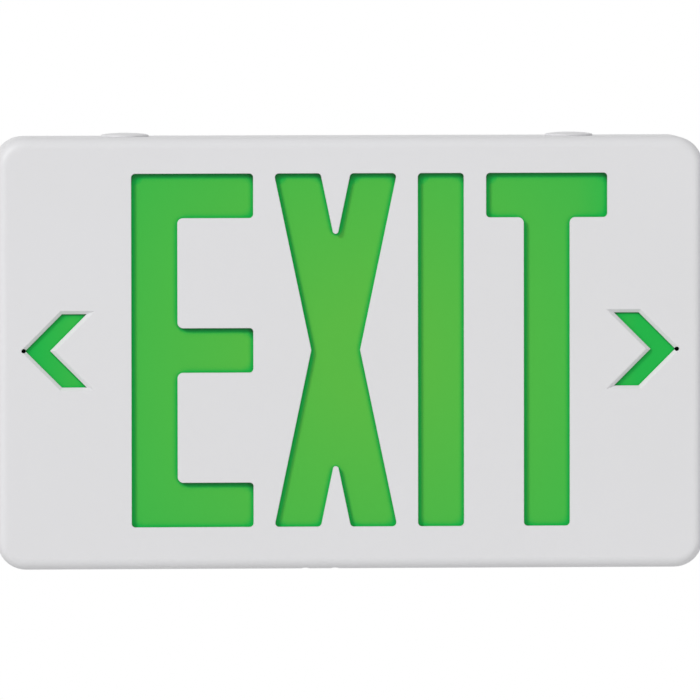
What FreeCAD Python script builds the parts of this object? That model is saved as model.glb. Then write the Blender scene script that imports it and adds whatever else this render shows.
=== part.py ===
import FreeCAD, Part
import math
import operator
import os
import types

import Sketcher

# An exit light of the thermoplastic wall type, in millimetres. X runs to the viewer's right, Z up, and the
# wall is the plane Y = 0. The light stands out from the wall along -Y, so a depth below is a distance from
# the wall towards the viewer. The origin is the middle of the face that lies on the wall.

SIZES = {
    # the whole light
    "sign_width": (305, "across the front"),
    "sign_height": (186, "up the front"),
    "sign_depth": (45, "from the wall to the front"),
    "corner_radius": (12.5, "corners seen from the front"),
    "fit_gap": (0.3, "between mouldings that slide together"),
    "seam_gap": (0.3, "shadow line between faceplate and housing"),
    # faceplate
    "face_wall": (2.3, "moulded wall"),
    "skirt_depth": (14, "from the front to the rear rim"),
    "face_edge_round": (4.5, "round of the front edge"),
    "letter_height": (152.4, "six inches, as the codes ask"),
    "stem_width": (19.9, "upright strokes"),
    "arm_width": (19.2, "level strokes"),
    "first_letter_width": (52.6, "the E"),
    "cross_letter_width": (53.1, "the X, at its top"),
    "cross_arm_width": (20.1, "level width of an arm of the X"),
    "cross_waist_width": (21.1, "the X where its arms meet"),
    "last_letter_width": (52.4, "the bar of the T"),
    "letter_gap": (8.95, "between letters"),
    "last_letter_gap": (9.6, "between the I and the T"),
    "legend_rise": (1.4, "legend above the middle of the face"),
    "letter_point_round": (1.7, "corners that stick out"),
    "letter_crook_round": (2.4, "corners where strokes meet"),
    "cross_fork_round": (1.2, "corners where the arms of the X meet"),
    "chevron_margin": (12.2, "from the side of the light to the chevron's point"),
    "chevron_height": (31.6, "arrow opening, top to bottom"),
    "chevron_stroke": (10.7, "level width of an arrow arm"),
    "chevron_bevel": (1.4, "bevel round the arrow opening"),
    "pry_hole_diameter": (1.9, "hole at the point of the arrow"),
    "pry_hole_lead": (0.7, "hole's middle beyond the arrow's point"),
    "lug_width": (8, "locating lug inside the skirt"),
    "lug_height": (1.2, "lug above the skirt's inner face"),
    "lug_length": (3, "lug along the depth"),
    "lug_setback": (2, "lug from the rear rim"),
    "lug_side_offset": (70, "lugs above and below, from the middle"),
    "lug_rise_offset": (45, "lugs at the sides, from the middle"),
    "peg_side": (2.4, "square pegs that carry the green panel"),
    "peg_length": (3, "pegs behind the face wall"),
    "peg_side_inset": (14.5, "outer pegs from the side of the light"),
    "peg_top_inset": (10, "pegs from the top and bottom of the light"),
    # green panel
    "panel_thickness": (1.5, "green panel"),
    "panel_gap": (0.5, "round and behind the green panel"),
    "peg_hole_gap": (0.2, "round a peg"),
    # housing
    "housing_wall": (2.3, "moulded wall"),
    "lip_thickness": (2, "lip inside the faceplate's skirt"),
    "shelf_depth": (4, "shelf that carries the lip"),
    "boss_radius": (5, "corner bosses for the back plate's screws"),
    "boss_inset": (8, "corner bosses from the sides"),
    "boss_length": (12, "corner bosses, from the back plate"),
    "hub_radius": (2.5, "stubs that carry the switch board"),
    "hub_inset": (3, "stubs from the switch board's ends"),
    # lamp-head plugs
    "plug_side_inset": (56.3, "plugs from the sides of the light"),
    "plug_hole_diameter": (18, "holes for lamp heads in the top"),
    "plug_flange_diameter": (20.7, "rim of a plug"),
    "plug_rim_height": (0.5, "rim above the housing"),
    "plug_crown_height": (1.6, "crown of the plug above the housing"),
    "plug_wall": (1.3, "wall of the plug's cup"),
    "plug_skirt": (1.8, "cup below the housing's wall"),
    # back plate
    "back_thickness": (2.3, "plate against the wall"),
    "back_edge_bevel": (0.8, "rear edge"),
    "rim_length": (4, "locating ribs in front of the plate"),
    "rim_thickness": (1.6, "locating ribs"),
    "box_screw_spacing": (88.9, "holes for an electrical box"),
    "box_hole_diameter": (4.8, "clears a box screw"),
    "wire_entry_diameter": (22.2, "trade half-inch knock-out"),
    "keyhole_spacing": (152.4, "hanging holes, side to side"),
    "keyhole_rise": (45, "hanging holes above the middle"),
    "keyhole_head_diameter": (9, "passes a screw head"),
    "keyhole_slot_width": (4.8, "holds a screw's shank"),
    "keyhole_slot_rise": (8, "slot above the head hole"),
    "keyhole_slot_round": (2.3, "corners of the slot"),
    # small screws
    "screw_diameter": (3, "shank"),
    "screw_head_diameter": (5.6, "pan and flat heads"),
    "screw_head_height": (1.8, "pan head"),
    "screw_length": (7, "shank of a back-plate screw"),
    "short_screw_length": (4.5, "shank of the other screws"),
    "thread_gap": (0.1, "round a screw in its hole"),
    # charger board
    "standoff_height": (6, "in front of the back plate"),
    "standoff_radius": (3, "charger board stand-offs"),
    "board_thickness": (1.6, "charger board"),
    "board_width": (124, "charger board"),
    "board_height": (60, "charger board"),
    "board_bottom_inset": (13, "charger board from the bottom of the light"),
    "board_hole_inset": (5, "screws from the board's edges"),
    # parts on the charger board
    "core_width": (35, "transformer core"),
    "core_height": (29, "transformer core"),
    "core_stack": (14, "transformer core, lamination stack"),
    "core_leg": (5.8, "outer legs and yokes of the core"),
    "core_window": (5.8, "width of a core window"),
    "coil_build": (5, "winding in front of and behind the core"),
    "core_left": (38, "transformer, left of the middle"),
    "core_rise": (30, "transformer's middle above the board's lower edge"),
    "coil_gap": (0.3, "between coil and core"),
    "relay_width": (19, "relay"),
    "relay_height": (15.5, "relay, up the board"),
    "relay_depth": (15.3, "relay, off the board"),
    "relay_middle": (5, "relay, right of the middle"),
    "relay_rise": (16, "relay above the board's lower edge"),
    "can_diameter": (10, "capacitor"),
    "can_length": (16, "capacitor"),
    "can_pitch": (13, "from one capacitor to the next"),
    "can_first": (27, "first capacitor, right of the middle"),
    "can_rise": (15, "capacitors above the board's lower edge"),
    "diode_diameter": (2.7, "diode"),
    "diode_length": (5.2, "diode"),
    "diode_pitch": (4.5, "from one diode to the next"),
    "diode_left": (8, "diodes, left of the middle"),
    "diode_rise": (50, "first diode above the board's lower edge"),
    "terminal_pitch": (7.5, "from one terminal to the next"),
    "terminal_width": (5, "wire mouth"),
    "terminal_mouth_depth": (6, "wire mouth, down from the top"),
    "terminal_mouth_lift": (4, "wire mouths' middle, off the board"),
    "terminal_well_radius": (2.3, "well over a terminal's screw"),
    "terminal_well_depth": (4, "well over a terminal's screw"),
    "terminal_tall": (10, "terminal block, up the board"),
    "terminal_depth": (12, "terminal block, off the board"),
    "terminal_left_edge": (20, "terminal block, right of the middle"),
    "terminal_rise": (49, "terminal block above the board's lower edge"),
    "plug_socket_width": (9.8, "battery socket"),
    "plug_socket_tall": (6, "battery socket, up the board"),
    "plug_socket_depth": (7, "battery socket, off the board"),
    "plug_socket_wall": (1, "battery socket"),
    "plug_socket_middle": (54, "battery socket, right of the middle"),
    "plug_socket_rise": (44, "battery socket above the board's lower edge"),
    # battery
    "cell_diameter": (14.5, "one cell with its sleeve"),
    "cell_length": (50, "one cell with its sleeve"),
    "cell_round": (7, "outer corners of the sleeve"),
    "battery_gap": (10, "between the charger board and the battery"),
    "battery_bottom_inset": (48, "battery's middle from the bottom of the light"),
    "cradle_height": (1.5, "ribs under the battery"),
    "cradle_width": (3, "ribs under the battery"),
    "cradle_inset": (8, "ribs from the battery's ends"),
    "strap_width": (14, "strap over the battery"),
    "strap_thickness": (1, "strap over the battery"),
    "strap_foot": (8, "feet of the strap"),
    # light strips
    "strip_thickness": (1.2, "light strip"),
    "strip_edge_gap": (0.6, "strip from the lip's front and the shelf"),
    "strip_end_inset": (27.5, "outer ends of the strips from the sides of the light"),
    "strip_inner_end": (38, "inner ends of the lower strips, from the middle"),
    "lamp_width": (3.5, "one light-emitting chip"),
    "lamp_length": (2.8, "one light-emitting chip"),
    "lamp_height": (1.9, "one light-emitting chip"),
    # test switch and pilot light
    "button_diameter": (3, "test button and pilot pipe"),
    "button_gap": (0.3, "round the button in its hole"),
    "button_left": (6.8, "test button, left of the middle"),
    "pilot_left": (19.6, "pilot light, left of the middle"),
    "button_depth": (36, "both, from the wall"),
    "button_setback": (0.3, "both, above the bottom of the light"),
    "button_travel": (1.2, "test button"),
    "flange_diameter": (5.2, "collars of button and pilot pipe"),
    "flange_height": (0.8, "collars of button and pilot pipe"),
    "collar_gap": (0.2, "under the button's collar"),
    "touch_gap": (0.1, "button to switch, pressed home"),
    "switch_side": (6, "test switch"),
    "switch_height": (3.5, "test switch"),
    "switch_nib": (1.4, "nib of the test switch"),
    "pilot_lamp_length": (4, "pilot lamp"),
    "pilot_lamp_round": (0.6, "edge of the pilot lamp's tip"),
    "tip_bevel": (0.45, "outer ends of button and pilot pipe"),
    "switch_board_margin": (8.5, "board beyond the button and the pilot light"),
    "switch_board_depth": (9, "board along the depth"),
}

TOP_LAMPS = 12
LOWER_LAMPS = 5
SCREW_HEAD_SIDES = 12
SCREW_SHANK_SIDES = 6
COUNTERSINK_SLOPE = 45
SMALL_ROUND_SIDES = 8
SMALL_PART_SIDES = 16
PLUG_SIDES = 24
TERMINALS = 3
CAPACITORS = 2
DIODES = 4
CELLS = 3
NEAR = 0.01
SIGNS = {"+": operator.add, "-": operator.sub, "*": operator.mul, "/": operator.truediv}

doc = FreeCAD.newDocument("exit_light")
sheet = doc.addObject("Spreadsheet::Sheet", "sizes")
for row, (alias, (number, note)) in enumerate(SIZES.items(), 1):
    sheet.set(f"A{row}", alias)
    sheet.set(f"B{row}", str(number))
    sheet.set(f"C{row}", note)
    sheet.setAlias(f"B{row}", alias)
doc.recompute()


class Length:
    """A length that carries its formula, so that what is built from it stays bound to the sheet."""

    def __init__(self, value, formula=None):
        self.value = float(value)
        self.formula = formula or str(value)

    def joined(self, sign, other):
        other = as_length(other)
        return Length(SIGNS[sign](self.value, other.value), f"({self.formula} {sign} {other.formula})")

    def __add__(self, other):
        return self.joined("+", other)

    def __sub__(self, other):
        return self.joined("-", other)

    def __mul__(self, other):
        return self.joined("*", other)

    def __truediv__(self, other):
        return self.joined("/", other)

    def __rmul__(self, other):
        return as_length(other) * self

    def __rsub__(self, other):
        return as_length(other) - self

    def __neg__(self):
        return 0 - self


def as_length(number):
    return number if isinstance(number, Length) else Length(number)


size = types.SimpleNamespace(**{alias: Length(sheet.get(alias), "sizes." + alias) for alias in SIZES})
nodes = []


# How the pieces are drawn and cut

def bind(thing, name, length):
    thing.setExpression(name, as_length(length).formula)


def keep(thing, label):
    """List a finished piece under the name that its file gets."""
    thing.Label = label
    nodes.append(thing)
    return thing


def new_body(name):
    return keep(doc.addObject("PartDesign::Body", name), name)


def sketch(body, name, plane="XZ_Plane", offset=0):
    """A sketch on one of the body's own planes. On XZ its offset is a depth, and on XY a height."""
    drawing = body.newObject("Sketcher::SketchObject", name)
    support = next(feature for feature in body.Origin.OriginFeatures if feature.Role == plane)
    drawing.AttachmentSupport = [(support, "")]
    drawing.MapMode = "FlatFace"
    bind(drawing, "AttachmentOffset.Base.z", offset)
    return drawing


def hold(drawing, kind, *where, length):
    length = as_length(length)
    number = drawing.addConstraint(Sketcher.Constraint(kind, *where, length.value))
    drawing.setExpression(f"Constraints[{number}]", length.formula)


def polygon(drawing, points):
    """A closed outline with every corner held."""
    first = drawing.GeometryCount
    points = [(as_length(x), as_length(y)) for x, y in points]
    spots = [FreeCAD.Vector(x.value, y.value) for x, y in points]
    count = len(points)
    for index in range(count):
        drawing.addGeometry(Part.LineSegment(spots[index], spots[(index + 1) % count]))
    for index, (x, y) in enumerate(points):
        after = first + (index + 1) % count
        drawing.addConstraint(Sketcher.Constraint("Coincident", first + index, 2, after, 1))
        hold(drawing, "DistanceX", first + index, 1, length=x)
        hold(drawing, "DistanceY", first + index, 1, length=y)


def rectangle(drawing, x, y, half_width, half_height):
    x, y = as_length(x), as_length(y)
    polygon(drawing, [(x - half_width, y - half_height), (x + half_width, y - half_height),
                      (x + half_width, y + half_height), (x - half_width, y + half_height)])


def rounded_rectangle(drawing, half_width, half_height, radius, x=0, y=0):
    first = drawing.GeometryCount
    x, y = as_length(x), as_length(y)
    arc_x, arc_y = (half_width - radius).value, (half_height - radius).value
    quarters = [(arc_x, arc_y), (-arc_x, arc_y), (-arc_x, -arc_y), (arc_x, -arc_y)]
    for turn, (along, up) in enumerate(quarters):
        middle = FreeCAD.Vector(x.value + along, y.value + up)
        ring = Part.Circle(middle, FreeCAD.Vector(0, 0, 1), radius.value)
        drawing.addGeometry(Part.ArcOfCircle(ring, turn * math.pi / 2, (turn + 1) * math.pi / 2))
    for turn in range(4):
        start = drawing.getPoint(first + turn, 2)
        end = drawing.getPoint(first + (turn + 1) % 4, 1)
        drawing.addGeometry(Part.LineSegment(start, end))
    for turn in range(4):
        arc, side, after = first + turn, first + 4 + turn, first + (turn + 1) % 4
        drawing.addConstraint(Sketcher.Constraint("Tangent", arc, 2, side, 1))
        drawing.addConstraint(Sketcher.Constraint("Tangent", side, 2, after, 1))
        drawing.addConstraint(Sketcher.Constraint("Vertical" if turn % 2 else "Horizontal", side))
        if turn:
            drawing.addConstraint(Sketcher.Constraint("Equal", first, arc))
    hold(drawing, "Radius", first, length=radius)
    hold(drawing, "DistanceX", first, 1, length=x + half_width)
    hold(drawing, "DistanceY", first, 2, length=y + half_height)
    hold(drawing, "DistanceX", first + 2, 1, length=x - half_width)
    hold(drawing, "DistanceY", first + 2, 2, length=y - half_height)


def circle(drawing, x, y, radius):
    x, y, radius = as_length(x), as_length(y), as_length(radius)
    middle = FreeCAD.Vector(x.value, y.value)
    number = drawing.addGeometry(Part.Circle(middle, FreeCAD.Vector(0, 0, 1), radius.value))
    hold(drawing, "DistanceX", number, 3, length=x)
    hold(drawing, "DistanceY", number, 3, length=y)
    hold(drawing, "Radius", number, length=radius)


def small_round(drawing, x, y, radius, sides=SMALL_ROUND_SIDES):
    """A small round hole or pillar, with flat sides that touch its circle from outside."""
    half_turn = math.pi / sides
    x, y, reach = as_length(x), as_length(y), as_length(radius) / math.cos(half_turn)
    turns = [(2 * number + 1) * half_turn for number in range(sides)]
    polygon(drawing, [(x + reach * math.cos(turn), y + reach * math.sin(turn)) for turn in turns])


def open_slot(drawing, x, mouth, end, half_width):
    """A slot that runs from its mouth towards lower values of the upright axis and ends in a half circle."""
    middle = FreeCAD.Vector(x.value, (end + half_width).value)
    ring = Part.Circle(middle, FreeCAD.Vector(0, 0, 1), half_width.value)
    corner = FreeCAD.Vector(x.value - half_width.value, mouth.value)
    across = FreeCAD.Vector(x.value + half_width.value, mouth.value)
    arc = drawing.addGeometry(Part.ArcOfCircle(ring, math.pi, 2 * math.pi))
    left = drawing.addGeometry(Part.LineSegment(corner, drawing.getPoint(arc, 1)))
    right = drawing.addGeometry(Part.LineSegment(drawing.getPoint(arc, 2), across))
    top = drawing.addGeometry(Part.LineSegment(across, corner))
    for pair in ((left, 2, arc, 1), (arc, 2, right, 1)):
        drawing.addConstraint(Sketcher.Constraint("Tangent", *pair))
    for pair in ((right, 2, top, 1), (top, 2, left, 1)):
        drawing.addConstraint(Sketcher.Constraint("Coincident", *pair))
    drawing.addConstraint(Sketcher.Constraint("Vertical", left))
    drawing.addConstraint(Sketcher.Constraint("Horizontal", top))
    hold(drawing, "Radius", arc, length=half_width)
    hold(drawing, "DistanceX", arc, 3, length=x)
    hold(drawing, "DistanceY", arc, 3, length=end + half_width)
    hold(drawing, "DistanceY", left, 1, length=mouth)


def pad(drawing, length):
    """Raise a sketch: forwards from XZ, upwards from XY."""
    body = drawing.getParentGeoFeatureGroup()
    feature = body.newObject("PartDesign::Pad", drawing.Name + "_pad")
    feature.Profile = drawing
    bind(feature, "Length", length)
    doc.recompute()
    return feature


def pocket(drawing, length=None, ahead=False):
    """Cut a sketch: towards the wall or down, or the other way where it is ahead."""
    body = drawing.getParentGeoFeatureGroup()
    before = body.Shape.Volume
    feature = body.newObject("PartDesign::Pocket", drawing.Name + "_cut")
    feature.Profile = drawing
    feature.Reversed = ahead
    if length is None:
        feature.Type = "ThroughAll"
    else:
        bind(feature, "Length", length)
    doc.recompute()
    if body.Shape.Volume > before - NEAR:
        raise RuntimeError(f"{feature.Name} cuts nothing")
    return feature


def revolve(drawing):
    body = drawing.getParentGeoFeatureGroup()
    feature = body.newObject("PartDesign::Revolution", drawing.Name + "_turned")
    feature.Profile = drawing
    feature.ReferenceAxis = (drawing, ["V_Axis"])
    feature.Angle = 360
    doc.recompute()
    return feature


def dress(body, kind, amount, chosen):
    """Fillet or chamfer the edges of a body that a test picks out."""
    base = body.Tip
    edges = [f"Edge{number}" for number, edge in enumerate(base.Shape.Edges, 1) if chosen(edge)]
    feature = body.newObject("PartDesign::" + kind, f"{base.Name}_{kind.lower()}")
    feature.Base = (base, edges)
    bind(feature, "Radius" if kind == "Fillet" else "Size", amount)
    doc.recompute()
    return feature


def at_depth(depth, within=None):
    """Picks edges that lie at one depth, inside a box of X and Z where one is given."""
    def chosen(edge):
        box = edge.BoundBox
        level = max(abs(box.YMin + depth.value), abs(box.YMax + depth.value)) < NEAR
        return level and (within is None or within(box))
    return chosen


def at_height(height):
    """Picks edges that lie at one height."""
    def chosen(edge):
        box = edge.BoundBox
        return max(abs(box.ZMin - height.value), abs(box.ZMax - height.value)) < NEAR
    return chosen


def at_corners(points):
    """Picks edges that run straight back from the corners of an outline."""
    def chosen(edge):
        box = edge.BoundBox
        straight = box.XLength < NEAR and box.ZLength < NEAR
        return straight and any(abs(box.XMin - x.value) < NEAR and abs(box.ZMin - z.value) < NEAR
                                for x, z in points)
    return chosen


def block(name, x, depth, z):
    """A box between two values of X, of depth and of Z."""
    x, depth, z = ([as_length(value) for value in pair] for pair in (x, depth, z))
    box = doc.addObject("Part::Box", name)
    bind(box, "Length", x[1] - x[0])
    bind(box, "Width", depth[1] - depth[0])
    bind(box, "Height", z[1] - z[0])
    bind(box, "Placement.Base.x", x[0])
    bind(box, "Placement.Base.y", -depth[1])
    bind(box, "Placement.Base.z", z[0])
    return box


TURNS = {"ahead": ((1, 0, 0), 90), "up": ((1, 0, 0), 0), "down": ((1, 0, 0), 180), "right": ((0, 1, 0), 90)}


def rod(name, x, depth, z, radius, length, way="ahead", sides=None):
    """A cylinder from the middle of its first end, or a prism of some sides."""
    kind, width = ("Part::Prism", "Circumradius") if sides else ("Part::Cylinder", "Radius")
    shape = doc.addObject(kind, name)
    axis, angle = TURNS[way]
    shape.Placement.Rotation = FreeCAD.Rotation(FreeCAD.Vector(*axis), angle)
    bind(shape, width, radius)
    if sides:
        shape.Polygon = sides
    bind(shape, "Height", length)
    bind(shape, "Placement.Base.x", x)
    bind(shape, "Placement.Base.y", -as_length(depth))
    bind(shape, "Placement.Base.z", z)
    return shape


def fuse(name, *shapes):
    whole = doc.addObject("Part::MultiFuse", name)
    whole.Shapes = list(shapes)
    return whole


def group(name, members):
    """Like pieces that share one node."""
    whole = doc.addObject("Part::Compound", name)
    whole.Links = members
    return keep(whole, name)


def pan_screw(name, x, depth, z, way="ahead"):
    """A pan-head screw whose head stands on a face, at the middle of the head's underside."""
    depth, z, reach = as_length(depth), as_length(z), size.short_screw_length
    end_depth, end_z = (depth - reach, z) if way == "ahead" else (depth, z - reach)
    head = rod(name + "_head", x, depth, z, size.screw_head_diameter / 2, size.screw_head_height, way,
               sides=SCREW_HEAD_SIDES)
    shank = rod(name + "_shank", x, end_depth, end_z, size.screw_diameter / 2, reach, way,
                sides=SCREW_SHANK_SIDES)
    return fuse(name, head, shank)


# Places that more than one piece uses

half_width = size.sign_width / 2
half_height = size.sign_height / 2
skirt_rear = size.sign_depth - size.skirt_depth
shoulder = skirt_rear - size.seam_gap
face_back = size.sign_depth - size.face_wall
panel_back = face_back - size.panel_thickness
lip_front = panel_back - size.panel_gap
lip_outer_inset = size.face_wall + size.fit_gap
lip_inner_inset = lip_outer_inset + size.lip_thickness
lip_floor = -(half_height - lip_inner_inset)
lug_rear = skirt_rear + size.lug_setback
strip_end = half_width - size.strip_end_inset
screw_hole_radius = size.screw_diameter / 2 + size.thread_gap
boss_places = [(side * (half_width - size.boss_inset), end * (half_height - size.boss_inset))
               for side in (-1, 1) for end in (-1, 1)]
lug_runs = [("level", size.lug_side_offset, half_height), ("upright", size.lug_rise_offset, half_width)]


def lug_rectangles(drawing, half_run, low, high):
    """One rectangle for each lug, between two insets from the outside of the light."""
    middle_inset, half_reach = (low + high) / 2, (high - low) / 2
    for run, offset, edge in lug_runs:
        for side in (-1, 1):
            for end in (-1, 1):
                if run == "level":
                    rectangle(drawing, side * offset, end * (edge - middle_inset), half_run, half_reach)
                else:
                    rectangle(drawing, end * (edge - middle_inset), side * offset, half_reach, half_run)


# Faceplate: a shallow tray with the legend and two arrows cut through its front wall

def legend():
    """The outlines of the four letters, left to right."""
    stem, arm, gap = size.stem_width, size.arm_width, size.letter_gap
    middle = size.legend_rise
    top, bottom = middle + size.letter_height / 2, middle - size.letter_height / 2
    cross, last = size.cross_letter_width, size.last_letter_width
    span = size.first_letter_width + cross + stem + 2 * gap + size.last_letter_gap + (last + stem) / 2

    left = -(span / 2)
    right, inner = left + size.first_letter_width, left + stem
    letter_e = [(left, top), (right, top), (right, top - arm), (inner, top - arm),
                (inner, middle + arm / 2), (right, middle + arm / 2),
                (right, middle - arm / 2), (inner, middle - arm / 2),
                (inner, bottom + arm), (right, bottom + arm), (right, bottom), (left, bottom)]

    centre = right + gap + cross / 2
    outer, inner = cross / 2, cross / 2 - size.cross_arm_width
    waist = size.cross_waist_width / 2
    fork = inner / (outer - waist) * size.letter_height / 2
    letter_x = [(centre - outer, top), (centre - inner, top), (centre, top - fork), (centre + inner, top),
                (centre + outer, top), (centre + waist, middle), (centre + outer, bottom),
                (centre + inner, bottom), (centre, bottom + fork), (centre - inner, bottom),
                (centre - outer, bottom), (centre - waist, middle)]

    left = centre + outer + gap
    right = left + stem
    letter_i = [(left, top), (right, top), (right, bottom), (left, bottom)]

    left = right + size.last_letter_gap
    right, inner = left + last, left + (last - stem) / 2
    letter_t = [(left, top), (right, top), (right, top - arm), (inner + stem, top - arm),
                (inner + stem, bottom), (inner, bottom), (inner, top - arm), (left, top - arm)]
    return letter_e, letter_x, letter_i, letter_t


def peg_places():
    """Pegs near the corners and in line with two of the gaps between letters."""
    letter_e, _, letter_i, _ = legend()
    gap_middles = [letter_e[1][0] + size.letter_gap / 2, letter_i[1][0] + size.letter_gap / 2]
    outer, row = half_width - size.peg_side_inset, half_height - size.peg_top_inset
    return [(x, end * row) for x in (-outer, *gap_middles, outer) for end in (-1, 1)]


def crooks_and_points(outline):
    """Part a clockwise outline's corners into those that turn in and those that stick out."""
    crooks, points = [], []
    for index, (x, z) in enumerate(outline):
        before_x, before_z = outline[index - 1]
        after_x, after_z = outline[(index + 1) % len(outline)]
        turn = ((x - before_x).value * (after_z - z).value - (z - before_z).value * (after_x - x).value)
        (crooks if turn > 0 else points).append((x, z))
    return crooks, points


def chevron(side):
    """The outline of the arrow on one side, which points away from the legend."""
    tip = side * (half_width - size.chevron_margin)
    heel = tip - side * size.chevron_stroke
    rise, middle = size.chevron_height / 2, size.legend_rise
    end, inner_end = tip - side * rise, heel - side * rise
    return [(tip, middle), (end, middle + rise), (inner_end, middle + rise),
            (heel, middle), (inner_end, middle - rise), (end, middle - rise)]


def pry_hole(side):
    """The middle of the hole at an arrow's point, where a tool gets behind the arrow."""
    tip, middle = chevron(side)[0]
    return tip + side * size.pry_hole_lead, middle


def round_the_arrow(box):
    """Whether an edge belongs to an arrow opening, on either side."""
    (tip, middle), (_, top), (inner_end, _) = chevron(1)[:3]
    near, far = sorted((abs(box.XMin), abs(box.XMax)))
    reach = max(abs(box.ZMin - middle.value), abs(box.ZMax - middle.value))
    beside = near > inner_end.value - NEAR and far < tip.value + NEAR
    return beside and reach < (top - middle).value + NEAR


def make_faceplate():
    body = new_body("faceplate")
    outline = sketch(body, "face_outline", offset=skirt_rear)
    rounded_rectangle(outline, half_width, half_height, size.corner_radius)
    pad(outline, size.skirt_depth)
    dress(body, "Fillet", size.face_edge_round, at_depth(size.sign_depth))
    hollow = sketch(body, "face_hollow", offset=face_back)
    rounded_rectangle(hollow, half_width - size.face_wall, half_height - size.face_wall,
                      size.corner_radius - size.face_wall)
    pocket(hollow)
    dress(body, "Chamfer", (size.face_edge_round - size.face_wall) / 2, at_depth(face_back))

    letters = legend()
    stencil = sketch(body, "legend", offset=size.sign_depth)
    for letter in letters:
        polygon(stencil, letter)
    pocket(stencil, size.face_wall)
    letter_e, letter_x, letter_i, letter_t = [crooks_and_points(letter) for letter in letters]
    dress(body, "Fillet", size.letter_crook_round, at_corners(letter_e[0] + letter_t[0]))
    dress(body, "Fillet", size.cross_fork_round, at_corners(letter_x[0]))
    dress(body, "Fillet", size.letter_point_round,
          at_corners(letter_e[1] + letter_x[1] + letter_i[1] + letter_t[1]))

    arrows = sketch(body, "arrows", offset=size.sign_depth)
    for side in (-1, 1):
        polygon(arrows, chevron(side))
    pocket(arrows, size.face_wall)
    dress(body, "Chamfer", size.chevron_bevel, at_depth(size.sign_depth, round_the_arrow))
    pry_holes = sketch(body, "pry_holes", offset=size.sign_depth)
    for side in (-1, 1):
        circle(pry_holes, *pry_hole(side), size.pry_hole_diameter / 2)
    pocket(pry_holes, size.face_wall)

    reliefs = sketch(body, "bottom_reliefs", "XY_Plane", -half_height)
    for left in (size.button_left, size.pilot_left):
        open_slot(reliefs, -left, -shoulder, -(face_back - size.fit_gap),
                  size.button_diameter / 2 + size.button_gap)
    pocket(reliefs, 2 * size.face_wall, ahead=True)

    lugs = sketch(body, "lugs", offset=lug_rear)
    lug_rectangles(lugs, size.lug_width / 2, size.face_wall / 2, size.face_wall + size.lug_height)
    pad(lugs, size.lug_length)
    pegs = sketch(body, "pegs", offset=face_back - size.peg_length)
    for place in peg_places():
        rectangle(pegs, *place, size.peg_side / 2, size.peg_side / 2)
    pad(pegs, size.peg_length)


def make_green_panel():
    body = new_body("green_panel")
    outline = sketch(body, "panel_outline", offset=panel_back)
    inset = size.face_edge_round + size.panel_gap
    rounded_rectangle(outline, half_width - inset, half_height - inset, size.corner_radius - size.face_wall)
    pad(outline, size.panel_thickness)
    holes = sketch(body, "panel_holes", offset=face_back)
    half = size.peg_side / 2 + size.peg_hole_gap
    for place in peg_places():
        rectangle(holes, *place, half, half)
    for side in (-1, 1):
        small_round(holes, *pry_hole(side), size.pry_hole_diameter / 2 + size.peg_hole_gap)
    pocket(holes)


# Housing: the frame between the faceplate and the back plate

pressed_floor = lip_floor + size.flange_height + size.collar_gap + size.button_travel + size.touch_gap
switch_board_floor = pressed_floor + size.switch_nib + size.switch_height
switch_board_ends = (-(size.pilot_left + size.switch_board_margin),
                     -(size.button_left - size.switch_board_margin))
hub_places = [switch_board_ends[0] + size.hub_inset, switch_board_ends[1] - size.hub_inset]
plug_depth = (size.back_thickness + shoulder) / 2
plug_offset = half_width - size.plug_side_inset


def make_housing():
    body = new_body("housing")
    walls = sketch(body, "housing_outline", offset=size.back_thickness)
    rounded_rectangle(walls, half_width, half_height, size.corner_radius)
    pad(walls, shoulder - size.back_thickness)
    lip = sketch(body, "lip_outline", offset=shoulder)
    rounded_rectangle(lip, half_width - lip_outer_inset, half_height - lip_outer_inset,
                      size.corner_radius - lip_outer_inset)
    pad(lip, lip_front - shoulder)
    bore = sketch(body, "lip_hollow", offset=lip_front)
    rounded_rectangle(bore, half_width - lip_inner_inset, half_height - lip_inner_inset,
                      size.corner_radius - lip_inner_inset)
    pocket(bore)
    hollow = sketch(body, "housing_hollow", offset=shoulder - size.shelf_depth)
    rounded_rectangle(hollow, half_width - size.housing_wall, half_height - size.housing_wall,
                      size.corner_radius - size.housing_wall)
    pocket(hollow)

    bosses = sketch(body, "corner_bosses", offset=size.back_thickness)
    holes = sketch(body, "corner_boss_holes", offset=size.back_thickness)
    for place in boss_places:
        small_round(bosses, *place, size.boss_radius)
        small_round(holes, *place, screw_hole_radius)
    pad(bosses, size.boss_length)
    pocket(holes, size.screw_length, ahead=True)

    lamp_holes = sketch(body, "lamp_holes", "XY_Plane", half_height)
    for side in (-1, 1):
        circle(lamp_holes, side * plug_offset, -plug_depth, size.plug_hole_diameter / 2)
    pocket(lamp_holes, 2 * size.housing_wall)
    lower_holes = sketch(body, "lower_holes", "XY_Plane", lip_floor)
    for left in (size.button_left, size.pilot_left):
        circle(lower_holes, -left, -size.button_depth, size.button_diameter / 2 + size.button_gap)
    pocket(lower_holes)

    slots = sketch(body, "lug_slots", offset=lip_front)
    lug_rectangles(slots, size.lug_width / 2 + size.fit_gap, size.face_wall, lip_inner_inset + size.fit_gap)
    pocket(slots, lip_front - lug_rear + size.fit_gap)

    hubs = sketch(body, "switch_board_stubs", "XY_Plane", lip_floor)
    hub_holes = sketch(body, "switch_board_stub_holes", "XY_Plane", switch_board_floor)
    for x in hub_places:
        small_round(hubs, x, -size.button_depth, size.hub_radius)
        small_round(hub_holes, x, -size.button_depth, screw_hole_radius)
    pad(hubs, switch_board_floor - lip_floor)
    pocket(hub_holes, size.short_screw_length)


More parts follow.
